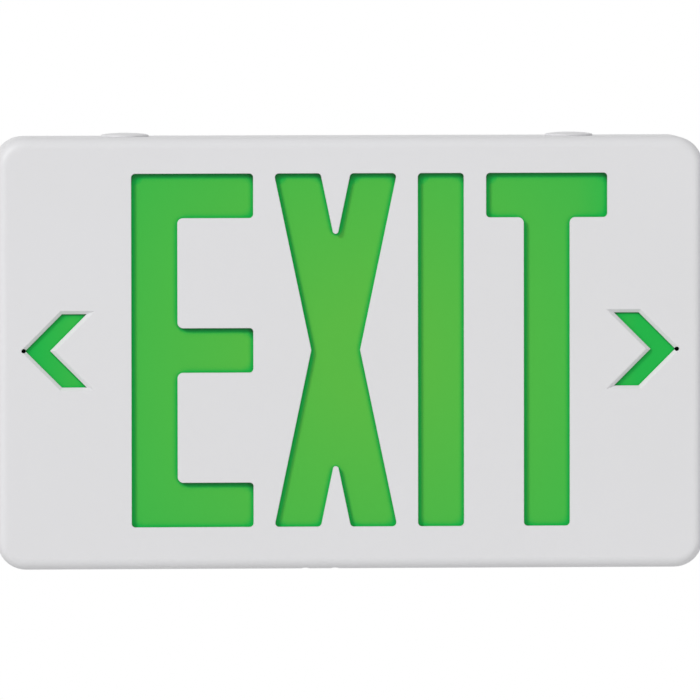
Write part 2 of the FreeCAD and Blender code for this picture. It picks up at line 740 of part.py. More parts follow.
def make_plug(name, side):
    """A crowned cup that snaps into the hole left for a lamp head."""
    body = new_body(name)
    bind(body, "Placement.Base.x", side * plug_offset)
    bind(body, "Placement.Base.y", -plug_depth)
    bind(body, "Placement.Base.z", half_height)
    leg = (size.plug_hole_diameter / 2 - size.fit_gap) * math.cos(math.pi / PLUG_SIDES)
    reach = size.housing_wall + size.plug_skirt
    cap = sketch(body, name + "_cap", "XY_Plane")
    small_round(cap, 0, 0, size.plug_flange_diameter / 2, PLUG_SIDES)
    pad(cap, size.plug_crown_height)
    dress(body, "Chamfer", size.plug_crown_height - size.plug_rim_height, at_height(size.plug_crown_height))
    legs = sketch(body, name + "_leg", "XY_Plane", -reach)
    small_round(legs, 0, 0, leg, PLUG_SIDES)
    pad(legs, reach)
    hollow = sketch(body, name + "_hollow", "XY_Plane", -reach)
    small_round(hollow, 0, 0, leg - size.plug_wall, PLUG_SIDES)
    pocket(hollow, reach + size.plug_rim_height - size.plug_wall, ahead=True)


# Back plate: closes the housing and carries the battery and the boards

board_back = size.back_thickness + size.standoff_height
board_front = board_back + size.board_thickness
board_low = size.board_bottom_inset - half_height
board_half_height = size.board_height / 2
board_middle = board_low + board_half_height
board_screw_places = [(side * (size.board_width / 2 - size.board_hole_inset),
                       board_middle + end * (board_half_height - size.board_hole_inset))
                      for side in (-1, 1) for end in (-1, 1)]
battery_x = size.board_width / 2 + size.battery_gap + size.cell_length / 2
battery_z = size.battery_bottom_inset - half_height
battery_half_height = size.cell_diameter * CELLS / 2
battery_back = size.back_thickness + size.cradle_height
battery_front = battery_back + size.cell_diameter
strap_inner = battery_half_height + size.fit_gap
strap_outer = strap_inner + size.strap_thickness
strap_screw_places = [(battery_x, battery_z + end * (strap_outer + size.strap_foot / 2)) for end in (-1, 1)]


def round_a_screw(box):
    """Whether an edge belongs to the hole of a screw that holds the back plate."""
    return any(abs(box.XMin - x.value) < size.screw_diameter.value and box.XLength < size.screw_diameter.value
               and abs(box.ZMin - z.value) < size.screw_diameter.value for x, z in boss_places)


def make_back_plate():
    body = new_body("back_plate")
    outline = sketch(body, "back_outline")
    rounded_rectangle(outline, half_width, half_height, size.corner_radius)
    pad(outline, size.back_thickness)
    dress(body, "Chamfer", size.back_edge_bevel, at_depth(Length(0)))

    ribs = sketch(body, "locating_ribs", offset=size.back_thickness)
    inset = size.housing_wall + size.fit_gap + size.rim_thickness / 2
    clear = 2 * size.boss_inset + size.boss_radius
    for end in (-1, 1):
        rectangle(ribs, 0, end * (half_height - inset), half_width - clear, size.rim_thickness / 2)
        rectangle(ribs, end * (half_width - inset), 0, size.rim_thickness / 2, half_height - clear)
    pad(ribs, size.rim_length)

    cradle = sketch(body, "battery_cradle", offset=size.back_thickness)
    for side in (-1, 1):
        along = battery_x + side * (size.cell_length / 2 - size.cradle_inset)
        rectangle(cradle, along, battery_z, size.cradle_width / 2, battery_half_height)
    pad(cradle, size.cradle_height)

    pillars = sketch(body, "board_pillars", offset=size.back_thickness)
    pillar_holes = sketch(body, "board_pillar_holes", offset=board_back)
    for place in board_screw_places + strap_screw_places:
        small_round(pillars, *place, size.standoff_radius)
        small_round(pillar_holes, *place, screw_hole_radius)
    pad(pillars, size.standoff_height)
    pocket(pillar_holes, size.short_screw_length)

    fixing_holes = sketch(body, "fixing_holes", offset=size.back_thickness)
    for side in (-1, 1):
        circle(fixing_holes, side * size.box_screw_spacing / 2, 0, size.box_hole_diameter / 2)
        circle(fixing_holes, side * size.keyhole_spacing / 2, size.keyhole_rise,
               size.keyhole_head_diameter / 2)
    circle(fixing_holes, 0, 0, size.wire_entry_diameter / 2)
    for place in boss_places:
        small_round(fixing_holes, *place, screw_hole_radius)
    pocket(fixing_holes)
    dress(body, "Chamfer", (size.screw_head_diameter - size.screw_diameter) / 2,
          at_depth(Length(0), round_a_screw))

    keyhole_slots = sketch(body, "keyhole_slots", offset=size.back_thickness)
    for side in (-1, 1):
        rounded_rectangle(keyhole_slots, size.keyhole_slot_width / 2, size.keyhole_slot_rise / 2,
                          size.keyhole_slot_round, side * size.keyhole_spacing / 2,
                          size.keyhole_rise + size.keyhole_slot_rise / 2)
    pocket(keyhole_slots)


def make_back_screws():
    """Flat-head screws that hold the back plate to the housing's corners, flush with the wall face."""
    shank, head = size.screw_diameter / 2, size.screw_head_diameter / 2
    reach = size.back_thickness + size.screw_length - size.fit_gap
    screws = []
    for number, (x, z) in enumerate(boss_places, 1):
        name = f"back_screw_{number}"
        rim = doc.addObject("Part::RegularPolygon", name + "_rim")
        rim.Polygon = SCREW_HEAD_SIDES
        rim.Placement.Rotation = FreeCAD.Rotation(FreeCAD.Vector(1, 0, 0), 90)
        bind(rim, "Circumradius", head)
        bind(rim, "Placement.Base.x", x)
        bind(rim, "Placement.Base.z", z)
        cone = doc.addObject("Part::Extrusion", name + "_head")
        cone.Base = rim
        cone.DirMode = "Normal"
        cone.Solid = True
        cone.TaperAngle = -COUNTERSINK_SLOPE
        bind(cone, "LengthFwd", head - shank)
        screws.append(fuse(name, cone, rod(name + "_shank", x, 0, z, shank, reach, sides=SCREW_SHANK_SIDES)))
    group("back_screws", screws)


# Charger board and what is soldered to it

def make_charger_board():
    body = new_body("charger_board")
    outline = sketch(body, "board_outline", offset=board_back)
    rectangle(outline, 0, board_middle, size.board_width / 2, board_half_height)
    for place in board_screw_places:
        small_round(outline, *place, screw_hole_radius)
    pad(outline, size.board_thickness)
    group("board_screws", [pan_screw(f"board_screw_{number}", x, board_front, z)
                           for number, (x, z) in enumerate(board_screw_places, 1)])


def make_transformer():
    """Laminations round a coil. The coil's bobbin stands on the board and holds the core off it."""
    x, z = -size.core_left, board_low + size.core_rise
    core_back = board_front + size.coil_build
    leg_half = size.core_width / 2 - size.core_leg - size.core_window
    window_half_height = size.core_height / 2 - size.core_leg
    core = new_body("transformer_core")
    outline = sketch(core, "core_outline", offset=core_back)
    rectangle(outline, x, z, size.core_width / 2, size.core_height / 2)
    for side in (-1, 1):
        rectangle(outline, x + side * (leg_half + size.core_window / 2), z, size.core_window / 2,
                  window_half_height)
    pad(outline, size.core_stack)

    coil = new_body("transformer_coil")
    wound = sketch(coil, "coil_outline", "XY_Plane", z - window_half_height + size.coil_gap)
    middle = -(core_back + size.core_stack / 2)
    rectangle(wound, x, middle, leg_half + size.core_window - size.coil_gap,
              size.core_stack / 2 + size.coil_build)
    rectangle(wound, x, middle, leg_half + size.coil_gap, size.core_stack / 2 + size.coil_gap)
    pad(wound, 2 * (window_half_height - size.coil_gap))


def make_board_parts():
    half = size.relay_width / 2
    relay = block("relay", (size.relay_middle - half, size.relay_middle + half),
                  (board_front, board_front + size.relay_depth),
                  (board_low + size.relay_rise, board_low + size.relay_rise + size.relay_height))
    keep(relay, "relay")
    group("capacitors", [rod(f"capacitor_{number + 1}", size.can_first + number * size.can_pitch, board_front,
                             board_low + size.can_rise, size.can_diameter / 2, size.can_length,
                             sides=SMALL_PART_SIDES) for number in range(CAPACITORS)])
    group("diodes", [rod(f"diode_{number + 1}", -size.diode_left, board_front + size.diode_diameter / 2,
                         board_low + size.diode_rise - number * size.diode_pitch, size.diode_diameter / 2,
                         size.diode_length, "right", sides=SMALL_ROUND_SIDES) for number in range(DIODES)])

    terminals = new_body("terminal_block")
    outline = sketch(terminals, "terminal_outline", offset=board_front)
    half_run = size.terminal_pitch * TERMINALS / 2
    level = board_low + size.terminal_rise
    rectangle(outline, size.terminal_left_edge + half_run, level, half_run, size.terminal_tall / 2)
    pad(outline, size.terminal_depth)
    mouths = sketch(terminals, "wire_mouths", "XY_Plane", level + size.terminal_tall / 2)
    heads = sketch(terminals, "screw_wells", offset=board_front + size.terminal_depth)
    for number in range(TERMINALS):
        x = size.terminal_left_edge + size.terminal_pitch * (number + 0.5)
        rectangle(mouths, x, -(board_front + size.terminal_mouth_lift), size.terminal_width / 2,
                  size.terminal_width / 2)
        small_round(heads, x, level, size.terminal_well_radius)
    pocket(mouths, size.terminal_mouth_depth)
    pocket(heads, size.terminal_well_depth)

    socket = new_body("battery_socket")
    outline = sketch(socket, "socket_outline", offset=board_front)
    place = (size.plug_socket_middle, board_low + size.plug_socket_rise)
    rectangle(outline, *place, size.plug_socket_width / 2, size.plug_socket_tall / 2)
    pad(outline, size.plug_socket_depth)
    mouth = sketch(socket, "socket_mouth", offset=board_front + size.plug_socket_depth)
    rectangle(mouth, *place, size.plug_socket_width / 2 - size.plug_socket_wall,
              size.plug_socket_tall / 2 - size.plug_socket_wall)
    pocket(mouth, size.plug_socket_depth - size.plug_socket_wall)


# Battery and its strap

def make_battery():
    """Cells side by side in one shrunk sleeve, and a bent strap that holds them in the cradle."""
    body = new_body("battery_pack")
    section = sketch(body, "battery_section", "YZ_Plane", battery_x - size.cell_length / 2)
    rounded_rectangle(section, size.cell_diameter / 2, battery_half_height, size.cell_round,
                      -(battery_back + size.cell_diameter / 2), battery_z)
    pad(section, size.cell_length)

    strap = new_body("battery_strap")
    hat = sketch(strap, "strap_section", "YZ_Plane", battery_x - size.strap_width / 2)
    thick = size.strap_thickness
    reach = strap_outer + size.strap_foot
    outside = [(board_back, -reach), (board_back + thick, -reach), (board_back + thick, -strap_outer),
               (battery_front + thick, -strap_outer), (battery_front + thick, strap_outer),
               (board_back + thick, strap_outer), (board_back + thick, reach), (board_back, reach)]
    inside = [(board_back, strap_inner), (battery_front, strap_inner),
              (battery_front, -strap_inner), (board_back, -strap_inner)]
    polygon(hat, [(-depth, battery_z + z) for depth, z in outside + inside])
    pad(hat, size.strap_width)
    holes = sketch(strap, "strap_holes", offset=board_back + thick)
    for place in strap_screw_places:
        small_round(holes, *place, screw_hole_radius)
    pocket(holes)
    group("strap_screws", [pan_screw(f"strap_screw_{number}", x, board_back + thick, z)
                           for number, (x, z) in enumerate(strap_screw_places, 1)])


# Light strips, stuck to the inside of the lip

def make_light_strip(name, start, end, up, lamps):
    """A narrow board on the lip's inner face, and its row of lamps that shine up or down behind the panel."""
    face = half_height - lip_inner_inset
    near, far = face - size.strip_thickness, face - size.strip_thickness - size.lamp_height
    depths = (shoulder + size.strip_edge_gap, lip_front - size.strip_edge_gap)
    levels = [(near, face), (far, near)] if up else [(-face, -near), (-near, -far)]
    keep(block(name, (start, end), depths, levels[0]), name)
    middle = (depths[0] + depths[1]) / 2
    step = (end - start) / lamps
    chips = []
    for number in range(lamps):
        x = start + step * (number + 0.5)
        chips.append(block(f"{name}_lamp_{number + 1}", (x - size.lamp_width / 2, x + size.lamp_width / 2),
                           (middle - size.lamp_length / 2, middle + size.lamp_length / 2), levels[1]))
    group(name + "_lamps", chips)


# Test switch and pilot light, on a small board behind the lip's bottom

def make_switch_board():
    body = new_body("switch_board")
    outline = sketch(body, "switch_board_outline", "XY_Plane", switch_board_floor)
    middle = (switch_board_ends[0] + switch_board_ends[1]) / 2
    rectangle(outline, middle, -size.button_depth, (switch_board_ends[1] - switch_board_ends[0]) / 2,
              size.switch_board_depth / 2)
    for x in hub_places:
        small_round(outline, x, -size.button_depth, screw_hole_radius)
    pad(outline, size.strip_thickness)
    top = switch_board_floor + size.strip_thickness
    group("switch_board_screws", [pan_screw(f"switch_board_screw_{number}", x, size.button_depth, top, "up")
                                  for number, x in enumerate(hub_places, 1)])

    x, depth, half = -size.button_left, size.button_depth, size.switch_side / 2
    case = block("switch_case", (x - half, x + half), (depth - half, depth + half),
                 (switch_board_floor - size.switch_height, switch_board_floor))
    nib = rod("switch_nib", x, depth, switch_board_floor - size.switch_height, size.button_diameter / 2,
              size.switch_nib, "down")
    keep(fuse("test_switch", case, nib), "test_switch")

    lamp = new_body("pilot_lamp")
    bind(lamp, "Placement.Base.x", -size.pilot_left)
    bind(lamp, "Placement.Base.y", -size.button_depth)
    bind(lamp, "Placement.Base.z", switch_board_floor - size.pilot_lamp_length)
    radius, collar = size.button_diameter / 2, size.button_diameter / 2 + size.fit_gap
    top, edge = size.pilot_lamp_length, size.pilot_lamp_round
    rim = top - size.flange_height
    section = sketch(lamp, "pilot_lamp_section")
    polygon(section, [(0, top), (collar, top), (collar, rim), (radius, rim), (radius, edge),
                      (radius - edge, 0), (0, 0)])
    revolve(section)


def make_plunger(name, left, collar_gap):
    """A pin that stands through the lip, with a collar inside: the test button, or the pilot light's pipe."""
    body = new_body(name)
    bind(body, "Placement.Base.x", -left)
    bind(body, "Placement.Base.y", -size.button_depth)
    bind(body, "Placement.Base.z", -(half_height - size.button_setback))
    radius, collar = size.button_diameter / 2, size.flange_diameter / 2
    seat = lip_inner_inset - size.button_setback + collar_gap
    section = sketch(body, name + "_section")
    polygon(section, [(0, 0), (radius - size.tip_bevel, 0), (radius, size.tip_bevel), (radius, seat),
                      (collar, seat), (collar, seat + size.flange_height), (0, seat + size.flange_height)])
    revolve(section)


make_faceplate()
make_green_panel()
make_housing()
make_plug("lamp_hole_plug_left", -1)
make_plug("lamp_hole_plug_right", 1)
make_back_plate()
make_back_screws()
make_charger_board()
make_transformer()
make_board_parts()
make_battery()
make_light_strip("light_strip_top", -strip_end, strip_end, True, TOP_LAMPS)
make_light_strip("light_strip_left", -strip_end, -size.strip_inner_end, False, LOWER_LAMPS)
make_light_strip("light_strip_right", size.strip_inner_end, strip_end, False, LOWER_LAMPS)
make_switch_board()
make_plunger("test_button", size.button_left, size.collar_gap)
make_plunger("pilot_light_pipe", size.pilot_left, Length(0))
doc.recompute()

# Every object and every piece is checked before any file is written

for thing in doc.Objects:
    if {"Invalid", "Error"} & set(thing.State):
        raise RuntimeError(f"{thing.Label} did not recompute: {thing.State}")
for node in nodes:
    if node.Shape.isNull() or not node.Shape.isValid() or not node.Shape.Solids:
        raise RuntimeError(f"{node.Label} has no valid solid")

os.makedirs("parts", exist_ok=True)
for node in nodes:
    node.Shape.exportStep(os.path.join("parts", node.Label + ".step"))
print(f"{len(nodes)} nodes written")
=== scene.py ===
import math

import bpy
from mathutils import Matrix, Vector


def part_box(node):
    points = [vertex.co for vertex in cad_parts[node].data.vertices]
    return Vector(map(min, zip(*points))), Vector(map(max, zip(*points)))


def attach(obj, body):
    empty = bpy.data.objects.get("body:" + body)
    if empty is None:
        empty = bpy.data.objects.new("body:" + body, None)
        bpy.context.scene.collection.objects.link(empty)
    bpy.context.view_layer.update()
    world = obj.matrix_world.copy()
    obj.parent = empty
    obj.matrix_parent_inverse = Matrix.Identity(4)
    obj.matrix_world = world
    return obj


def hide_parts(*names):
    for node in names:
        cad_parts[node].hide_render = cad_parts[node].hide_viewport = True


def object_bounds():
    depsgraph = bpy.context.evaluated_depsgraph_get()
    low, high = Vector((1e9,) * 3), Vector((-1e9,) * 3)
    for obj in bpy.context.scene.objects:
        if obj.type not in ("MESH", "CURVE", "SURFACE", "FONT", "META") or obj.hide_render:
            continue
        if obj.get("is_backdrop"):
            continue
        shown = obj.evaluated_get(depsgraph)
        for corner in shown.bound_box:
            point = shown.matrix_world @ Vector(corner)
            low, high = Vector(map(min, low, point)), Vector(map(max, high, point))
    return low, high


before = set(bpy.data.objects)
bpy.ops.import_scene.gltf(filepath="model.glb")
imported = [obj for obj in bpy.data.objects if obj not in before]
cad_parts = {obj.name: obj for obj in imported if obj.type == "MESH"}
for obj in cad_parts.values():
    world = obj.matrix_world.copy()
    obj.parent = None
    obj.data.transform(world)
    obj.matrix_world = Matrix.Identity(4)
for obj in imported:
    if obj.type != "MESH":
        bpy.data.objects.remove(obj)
cad_low, cad_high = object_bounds()
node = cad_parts


# Faceplate. A shallow tray moulded in white thermoplastic, with the legend and two arrows cut through its
# front. Its skirt slides over the housing's lip, and small lugs inside it click into slots in the lip.
# The mould leaves a fine satin grain and very slight differences of tone.
WHITE = (0.775, 0.773, 0.793, 1)
WHITE_SHADE = (0.745, 0.743, 0.752, 1)


def mm(length):
    return length / 1000


EDGE_EASE = mm(0.45)
FINE_GRAIN = 1800.0
GRAIN_IN_GLOSS = 0.12


def new_material(name, roughness, base=None, metallic=0.0):
    """A material with its own Principled shader, ready for a pattern to be joined to it."""
    material = bpy.data.materials.new(name)
    material.use_nodes = True
    shader = material.node_tree.nodes["Principled BSDF"]
    shader.inputs["Roughness"].default_value = roughness
    shader.inputs["Metallic"].default_value = metallic
    if base:
        shader.inputs["Base Color"].default_value = base
    return material, material.node_tree.nodes, material.node_tree.links, shader


def new_group(name, numbers, colours=(), outputs=("Color", "Roughness", "Height")):
    """A shader node group with its inputs and outputs in place."""
    group = bpy.data.node_groups.new(name, "ShaderNodeTree")
    for label, value in numbers.items():
        group.interface.new_socket(label, in_out="INPUT", socket_type="NodeSocketFloat").default_value = value
    for label in colours:
        group.interface.new_socket(label, in_out="INPUT", socket_type="NodeSocketColor")
    for label in outputs:
        kind = "NodeSocketColor" if label == "Color" else "NodeSocketFloat"
        group.interface.new_socket(label, in_out="OUTPUT", socket_type=kind)
    entry, leave = group.nodes.new("NodeGroupInput"), group.nodes.new("NodeGroupOutput")
    return group, entry, leave


def moulded_skin_group():
    """Grain of a moulded surface, and slow differences of tone between two colours."""
    group, entry, leave = new_group(
        "moulded_skin", {"Grain Scale": FINE_GRAIN, "Tone Scale": 9.0, "Roughness": 0.45},
        colours=("Colour A", "Colour B"))
    nodes, links = group.nodes, group.links
    place = nodes.new("ShaderNodeTexCoord")
    grain = nodes.new("ShaderNodeTexNoise")
    grain.inputs["Detail"].default_value = 3
    tone = nodes.new("ShaderNodeTexNoise")
    tone.inputs["Detail"].default_value = 2
    for texture, scale in ((grain, "Grain Scale"), (tone, "Tone Scale")):
        links.new(place.outputs["Object"], texture.inputs["Vector"])
        links.new(entry.outputs[scale], texture.inputs["Scale"])
    blend = nodes.new("ShaderNodeMix")
    blend.data_type = "RGBA"
    links.new(tone.outputs["Fac"], blend.inputs["Factor"])
    links.new(entry.outputs["Colour A"], blend.inputs["A"])
    links.new(entry.outputs["Colour B"], blend.inputs["B"])
    gloss = nodes.new("ShaderNodeMath")
    gloss.operation = "MULTIPLY_ADD"
    gloss.inputs[1].default_value = GRAIN_IN_GLOSS
    links.new(grain.outputs["Fac"], gloss.inputs[0])
    links.new(entry.outputs["Roughness"], gloss.inputs[2])
    links.new(blend.outputs["Result"], leave.inputs["Color"])
    links.new(gloss.outputs["Value"], leave.inputs["Roughness"])
    links.new(grain.outputs["Fac"], leave.inputs["Height"])
    return group


moulded_skin = moulded_skin_group()


def moulded(name, colour_a, colour_b, roughness, grain_scale=FINE_GRAIN, bump=0.05, ease=EDGE_EASE):
    """A moulded plastic in two close tones, whose sharp edges are slightly eased."""
    material, nodes, links, shader = new_material(name, roughness)
    eased = nodes.new("ShaderNodeBevel")
    eased.samples = 6
    eased.inputs["Radius"].default_value = ease
    skin = nodes.new("ShaderNodeGroup")
    skin.node_tree = moulded_skin
    skin.inputs["Colour A"].default_value = colour_a
    skin.inputs["Colour B"].default_value = colour_b
    skin.inputs["Roughness"].default_value = roughness
    skin.inputs["Grain Scale"].default_value = grain_scale
    lift = nodes.new("ShaderNodeBump")
    lift.inputs["Strength"].default_value = bump
    lift.inputs["Distance"].default_value = mm(0.05)
    links.new(skin.outputs["Color"], shader.inputs["Base Color"])
    links.new(skin.outputs["Roughness"], shader.inputs["Roughness"])
    links.new(skin.outputs["Height"], lift.inputs["Height"])
    links.new(eased.outputs["Normal"], lift.inputs["Normal"])
    links.new(lift.outputs["Normal"], shader.inputs["Normal"])
    return material


def dress(name, material):
    """Give a piece of the construction its finish."""
    piece = node[name]
    piece.data.materials.clear()
    piece.data.materials.append(material)


white_moulding = moulded("white_moulding", WHITE, WHITE_SHADE, 0.42)
dress("faceplate", white_moulding)


# Green panel. One sheet of translucent green acrylic behind all the openings, hung on pegs at the back of
# the faceplate. With the light off, its green is yellowest in the middle, less so all round, and deepest
# towards both ends, behind the arrows. Painted shade: close to the edges of the openings the green is painted
# deeper and bluer, more so along their left and top edges, and under their top edges it is painted dark.
GREEN_MIDDLE = (0.102, 0.506, 0.056, 1)
GREEN_ROUND = (0.045, 0.487, 0.062, 1)
GREEN_ENDS = (0.012, 0.469, 0.064, 1)
# The next two greens are painted shade: a deeper green near the openings' edges, a dark green under their top
# edges.
GREEN_PAINTED_EDGE_SHADE = (0.001, 0.44, 0.060, 1)
GREEN_PAINTED_TOP_SHADE = (0.006, 0.17, 0.035, 1)
MIDDLE_X = mm(8)
MIDDLE_REACH = mm(20)
ROUND_REACH = mm(135)
ENDS_MIDDLE_X = mm(-6)
ENDS_START = mm(104)
ENDS_REACH = mm(130)
BACK_SKIN = mm(0.1)
SKY_REACH = mm(5)
# For each mask of painted shade, the way it looks, and how much open front it takes to turn from painted
# shade to plain green.
RIM_SHADE_MASK = (0, -1, 0), 0.60, 0.84
CORNER_SHADE_MASK = (-0.3, -0.8, 0.5), 0.64, 0.75
UNDER_SHADE_MASK = (0, -0.7, 0.7), 0.38, 0.56


def painted_shade_mask(nodes, links, behind, towards, least, most):
    """How open the front is towards one side, as a mask for painted shade: 0 beside a wall, 1 in the clear
    and all over the back.
    """
    side = nodes.new("ShaderNodeCombineXYZ")
    for label, value in zip("XYZ", towards):
        side.inputs[label].default_value = value
    near = nodes.new("ShaderNodeAmbientOcclusion")
    near.inputs["Distance"].default_value = SKY_REACH
    reach = nodes.new("ShaderNodeMapRange")
    reach.inputs["From Min"].default_value = least
    reach.inputs["From Max"].default_value = most
    whole = nodes.new("ShaderNodeMath")
    whole.operation = "MAXIMUM"
    links.new(side.outputs["Vector"], near.inputs["Normal"])
    links.new(near.outputs["AO"], reach.inputs["Value"])
    links.new(reach.outputs["Result"], whole.inputs[0])
    links.new(behind, whole.inputs[1])
    return whole.outputs["Value"]


def green_acrylic():
    """Green acrylic that is toned by its place on the panel, with painted shade near the openings' edges."""
    material, nodes, links, shader = new_material("green_acrylic", 0.38)
    shader.inputs["Specular IOR Level"].default_value = 0.15
    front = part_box("green_panel")[0].y
    place = nodes.new("ShaderNodeTexCoord")
    split = nodes.new("ShaderNodeSeparateXYZ")
    outward = nodes.new("ShaderNodeVectorMath")
    outward.operation = "DISTANCE"
    outward.inputs[1].default_value = (MIDDLE_X, front, 0)
    round_share = nodes.new("ShaderNodeMapRange")
    round_share.inputs["From Min"].default_value = MIDDLE_REACH
    round_share.inputs["From Max"].default_value = ROUND_REACH
    tone = nodes.new("ShaderNodeMix")
    tone.data_type = "RGBA"
    tone.inputs["A"].default_value = GREEN_MIDDLE
    tone.inputs["B"].default_value = GREEN_ROUND
    links.new(place.outputs["Object"], outward.inputs[0])
    links.new(outward.outputs["Value"], round_share.inputs["Value"])
    links.new(round_share.outputs["Result"], tone.inputs["Factor"])
    aside = nodes.new("ShaderNodeMath")
    aside.operation = "SUBTRACT"
    aside.inputs[1].default_value = ENDS_MIDDLE_X
    away = nodes.new("ShaderNodeMath")
    away.operation = "ABSOLUTE"
    ends_share = nodes.new("ShaderNodeMapRange")
    ends_share.inputs["From Min"].default_value = ENDS_START
    ends_share.inputs["From Max"].default_value = ENDS_REACH
    ends = nodes.new("ShaderNodeMix")
    ends.data_type = "RGBA"
    ends.inputs["B"].default_value = GREEN_ENDS
    links.new(place.outputs["Object"], split.inputs["Vector"])
    links.new(split.outputs["X"], aside.inputs[0])
    links.new(aside.outputs["Value"], away.inputs[0])
    links.new(away.outputs["Value"], ends_share.inputs["Value"])
    links.new(ends_share.outputs["Result"], ends.inputs["Factor"])
    links.new(tone.outputs["Result"], ends.inputs["A"])
    behind = nodes.new("ShaderNodeMath")
    behind.operation = "GREATER_THAN"
    behind.inputs[1].default_value = front + BACK_SKIN
    links.new(split.outputs["Y"], behind.inputs[0])
    # Painted shade: a deeper green near the openings' edges, and a dark green under their top edges.
    rim = painted_shade_mask(nodes, links, behind.outputs["Value"], *RIM_SHADE_MASK)
    corner = painted_shade_mask(nodes, links, behind.outputs["Value"], *CORNER_SHADE_MASK)
    under = painted_shade_mask(nodes, links, behind.outputs["Value"], *UNDER_SHADE_MASK)
    nearer = nodes.new("ShaderNodeMath")
    nearer.operation = "MINIMUM"
    painted_edge_shade = nodes.new("ShaderNodeMix")
    painted_edge_shade.data_type = "RGBA"
    painted_edge_shade.inputs["A"].default_value = GREEN_PAINTED_EDGE_SHADE
    painted_top_shade = nodes.new("ShaderNodeMix")
    painted_top_shade.data_type = "RGBA"
    painted_top_shade.inputs["A"].default_value = GREEN_PAINTED_TOP_SHADE
    links.new(rim, nearer.inputs[0])
    links.new(corner, nearer.inputs[1])
    links.new(nearer.outputs["Value"], painted_edge_shade.inputs["Factor"])
    links.new(ends.outputs["Result"], painted_edge_shade.inputs["B"])
    links.new(under, painted_top_shade.inputs["Factor"])
    links.new(painted_edge_shade.outputs["Result"], painted_top_shade.inputs["B"])
    links.new(painted_top_shade.outputs["Result"], shader.inputs["Base Color"])
    grain = nodes.new("ShaderNodeTexNoise")
    grain.inputs["Scale"].default_value = 900
    lift = nodes.new("ShaderNodeBump")
    lift.inputs["Strength"].default_value = 0.08
    lift.inputs["Distance"].default_value = mm(0.05)
    links.new(place.outputs["Object"], grain.inputs["Vector"])
    links.new(grain.outputs["Fac"], lift.inputs["Height"])
    links.new(lift.outputs["Normal"], shader.inputs["Normal"])
    return material


dress("green_panel", green_acrylic())


# Housing. The white frame between faceplate and back plate: four walls, a lip for the faceplate, corner
# bosses for the screws, and two holes in its top for lamp heads. It is the same moulding as the faceplate.
dress("housing", white_moulding)


# Lamp-hole plugs. Two domed caps of the same white plastic, pressed into the holes in the top of the
# housing. Each is a thin crown that curves down to its rim, with a short cup below.
PLUG_SEGMENTS = 96
PLUG_RINGS = 14
PLUG_RIM = mm(0.5)
PLUG_CUP_RADIUS = mm(8.7)
PLUG_WALL = mm(1.3)
SAME_POINT = mm(0.001)


def deselect_all():
    bpy.ops.object.select_all(action="DESELECT")


def pick(piece):
    """Select one piece alone."""
    deselect_all()
    piece.select_set(True)
    bpy.context.view_layer.objects.active = piece


def start_piece(name):
    """Name the primitive that was just added."""
    piece = bpy.context.object
    piece.name = piece.data.name = name
    return piece


def settle(piece):
    """Put a piece's place, turn and size into its mesh, and turn its faces outwards."""
    pick(piece)
    bpy.ops.object.transform_apply(location=True, rotation=True, scale=True)
    bpy.ops.object.mode_set(mode="EDIT")
    bpy.ops.mesh.select_all(action="SELECT")
    bpy.ops.mesh.remove_doubles(threshold=SAME_POINT)
    bpy.ops.mesh.normals_make_consistent(inside=False)
    bpy.ops.object.mode_set(mode="OBJECT")
    bpy.ops.object.shade_smooth_by_angle(angle=math.radians(35))


def drawn(name, points):
    """A chain of edges: a plane merged to one point, which is then extruded from point to point."""
    deselect_all()
    bpy.ops.mesh.primitive_plane_add(size=1)
    piece = start_piece(name)
    bpy.ops.object.mode_set(mode="EDIT")
    bpy.ops.mesh.merge(type="CENTER")
    bpy.ops.transform.translate(value=points[0])
    for start, end in zip(points, points[1:]):
        bpy.ops.mesh.extrude_vertices_move(TRANSFORM_OT_translate={"value": Vector(end) - Vector(start)})
    bpy.ops.object.mode_set(mode="OBJECT")
    return piece


def spun(name, outline, centre, segments=PLUG_SEGMENTS):
    """Spin an outline of radius and height about an upright axis."""
    piece = drawn(name, [(radius, 0, height) for radius, height in outline])
    piece.location = centre
    bpy.ops.object.mode_set(mode="EDIT")
    bpy.ops.mesh.select_all(action="SELECT")
    bpy.ops.mesh.spin(steps=segments, angle=2 * math.pi, center=centre, axis=(0, 0, 1))
    bpy.ops.object.mode_set(mode="OBJECT")
    settle(piece)
    return piece


def dome(radius, base, crown):
    """Points of a shallow dome, from its rim up to its middle."""
    points = []
    for step in range(PLUG_RINGS + 1):
        angle = step / PLUG_RINGS * math.pi / 2
        points.append((radius * math.cos(angle), base + (crown - base) * math.sin(angle)))
    return points


for name in ("lamp_hole_plug_left", "lamp_hole_plug_right"):
    low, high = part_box(name)
    middle = (low + high) / 2
    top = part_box("housing")[1].z
    rim, crown, foot = (high.x - low.x) / 2, high.z - top, low.z - top
    inner = PLUG_CUP_RADIUS - PLUG_WALL
    profile = dome(rim, PLUG_RIM, crown)[::-1]
    profile += [(rim, 0), (PLUG_CUP_RADIUS, 0), (PLUG_CUP_RADIUS, foot), (inner, foot),
                (inner, PLUG_RIM - PLUG_WALL), (0, PLUG_RIM - PLUG_WALL)]
    plug = spun(name + "_cap", profile, (middle.x, middle.y, top))
    plug.data.materials.append(white_moulding)
    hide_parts(name)
    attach(plug, "housing")


# Back plate. The white plate against the wall, with its knock-out for wires, box holes, keyholes and the
# pillars that carry the boards.
dress("back_plate", white_moulding)


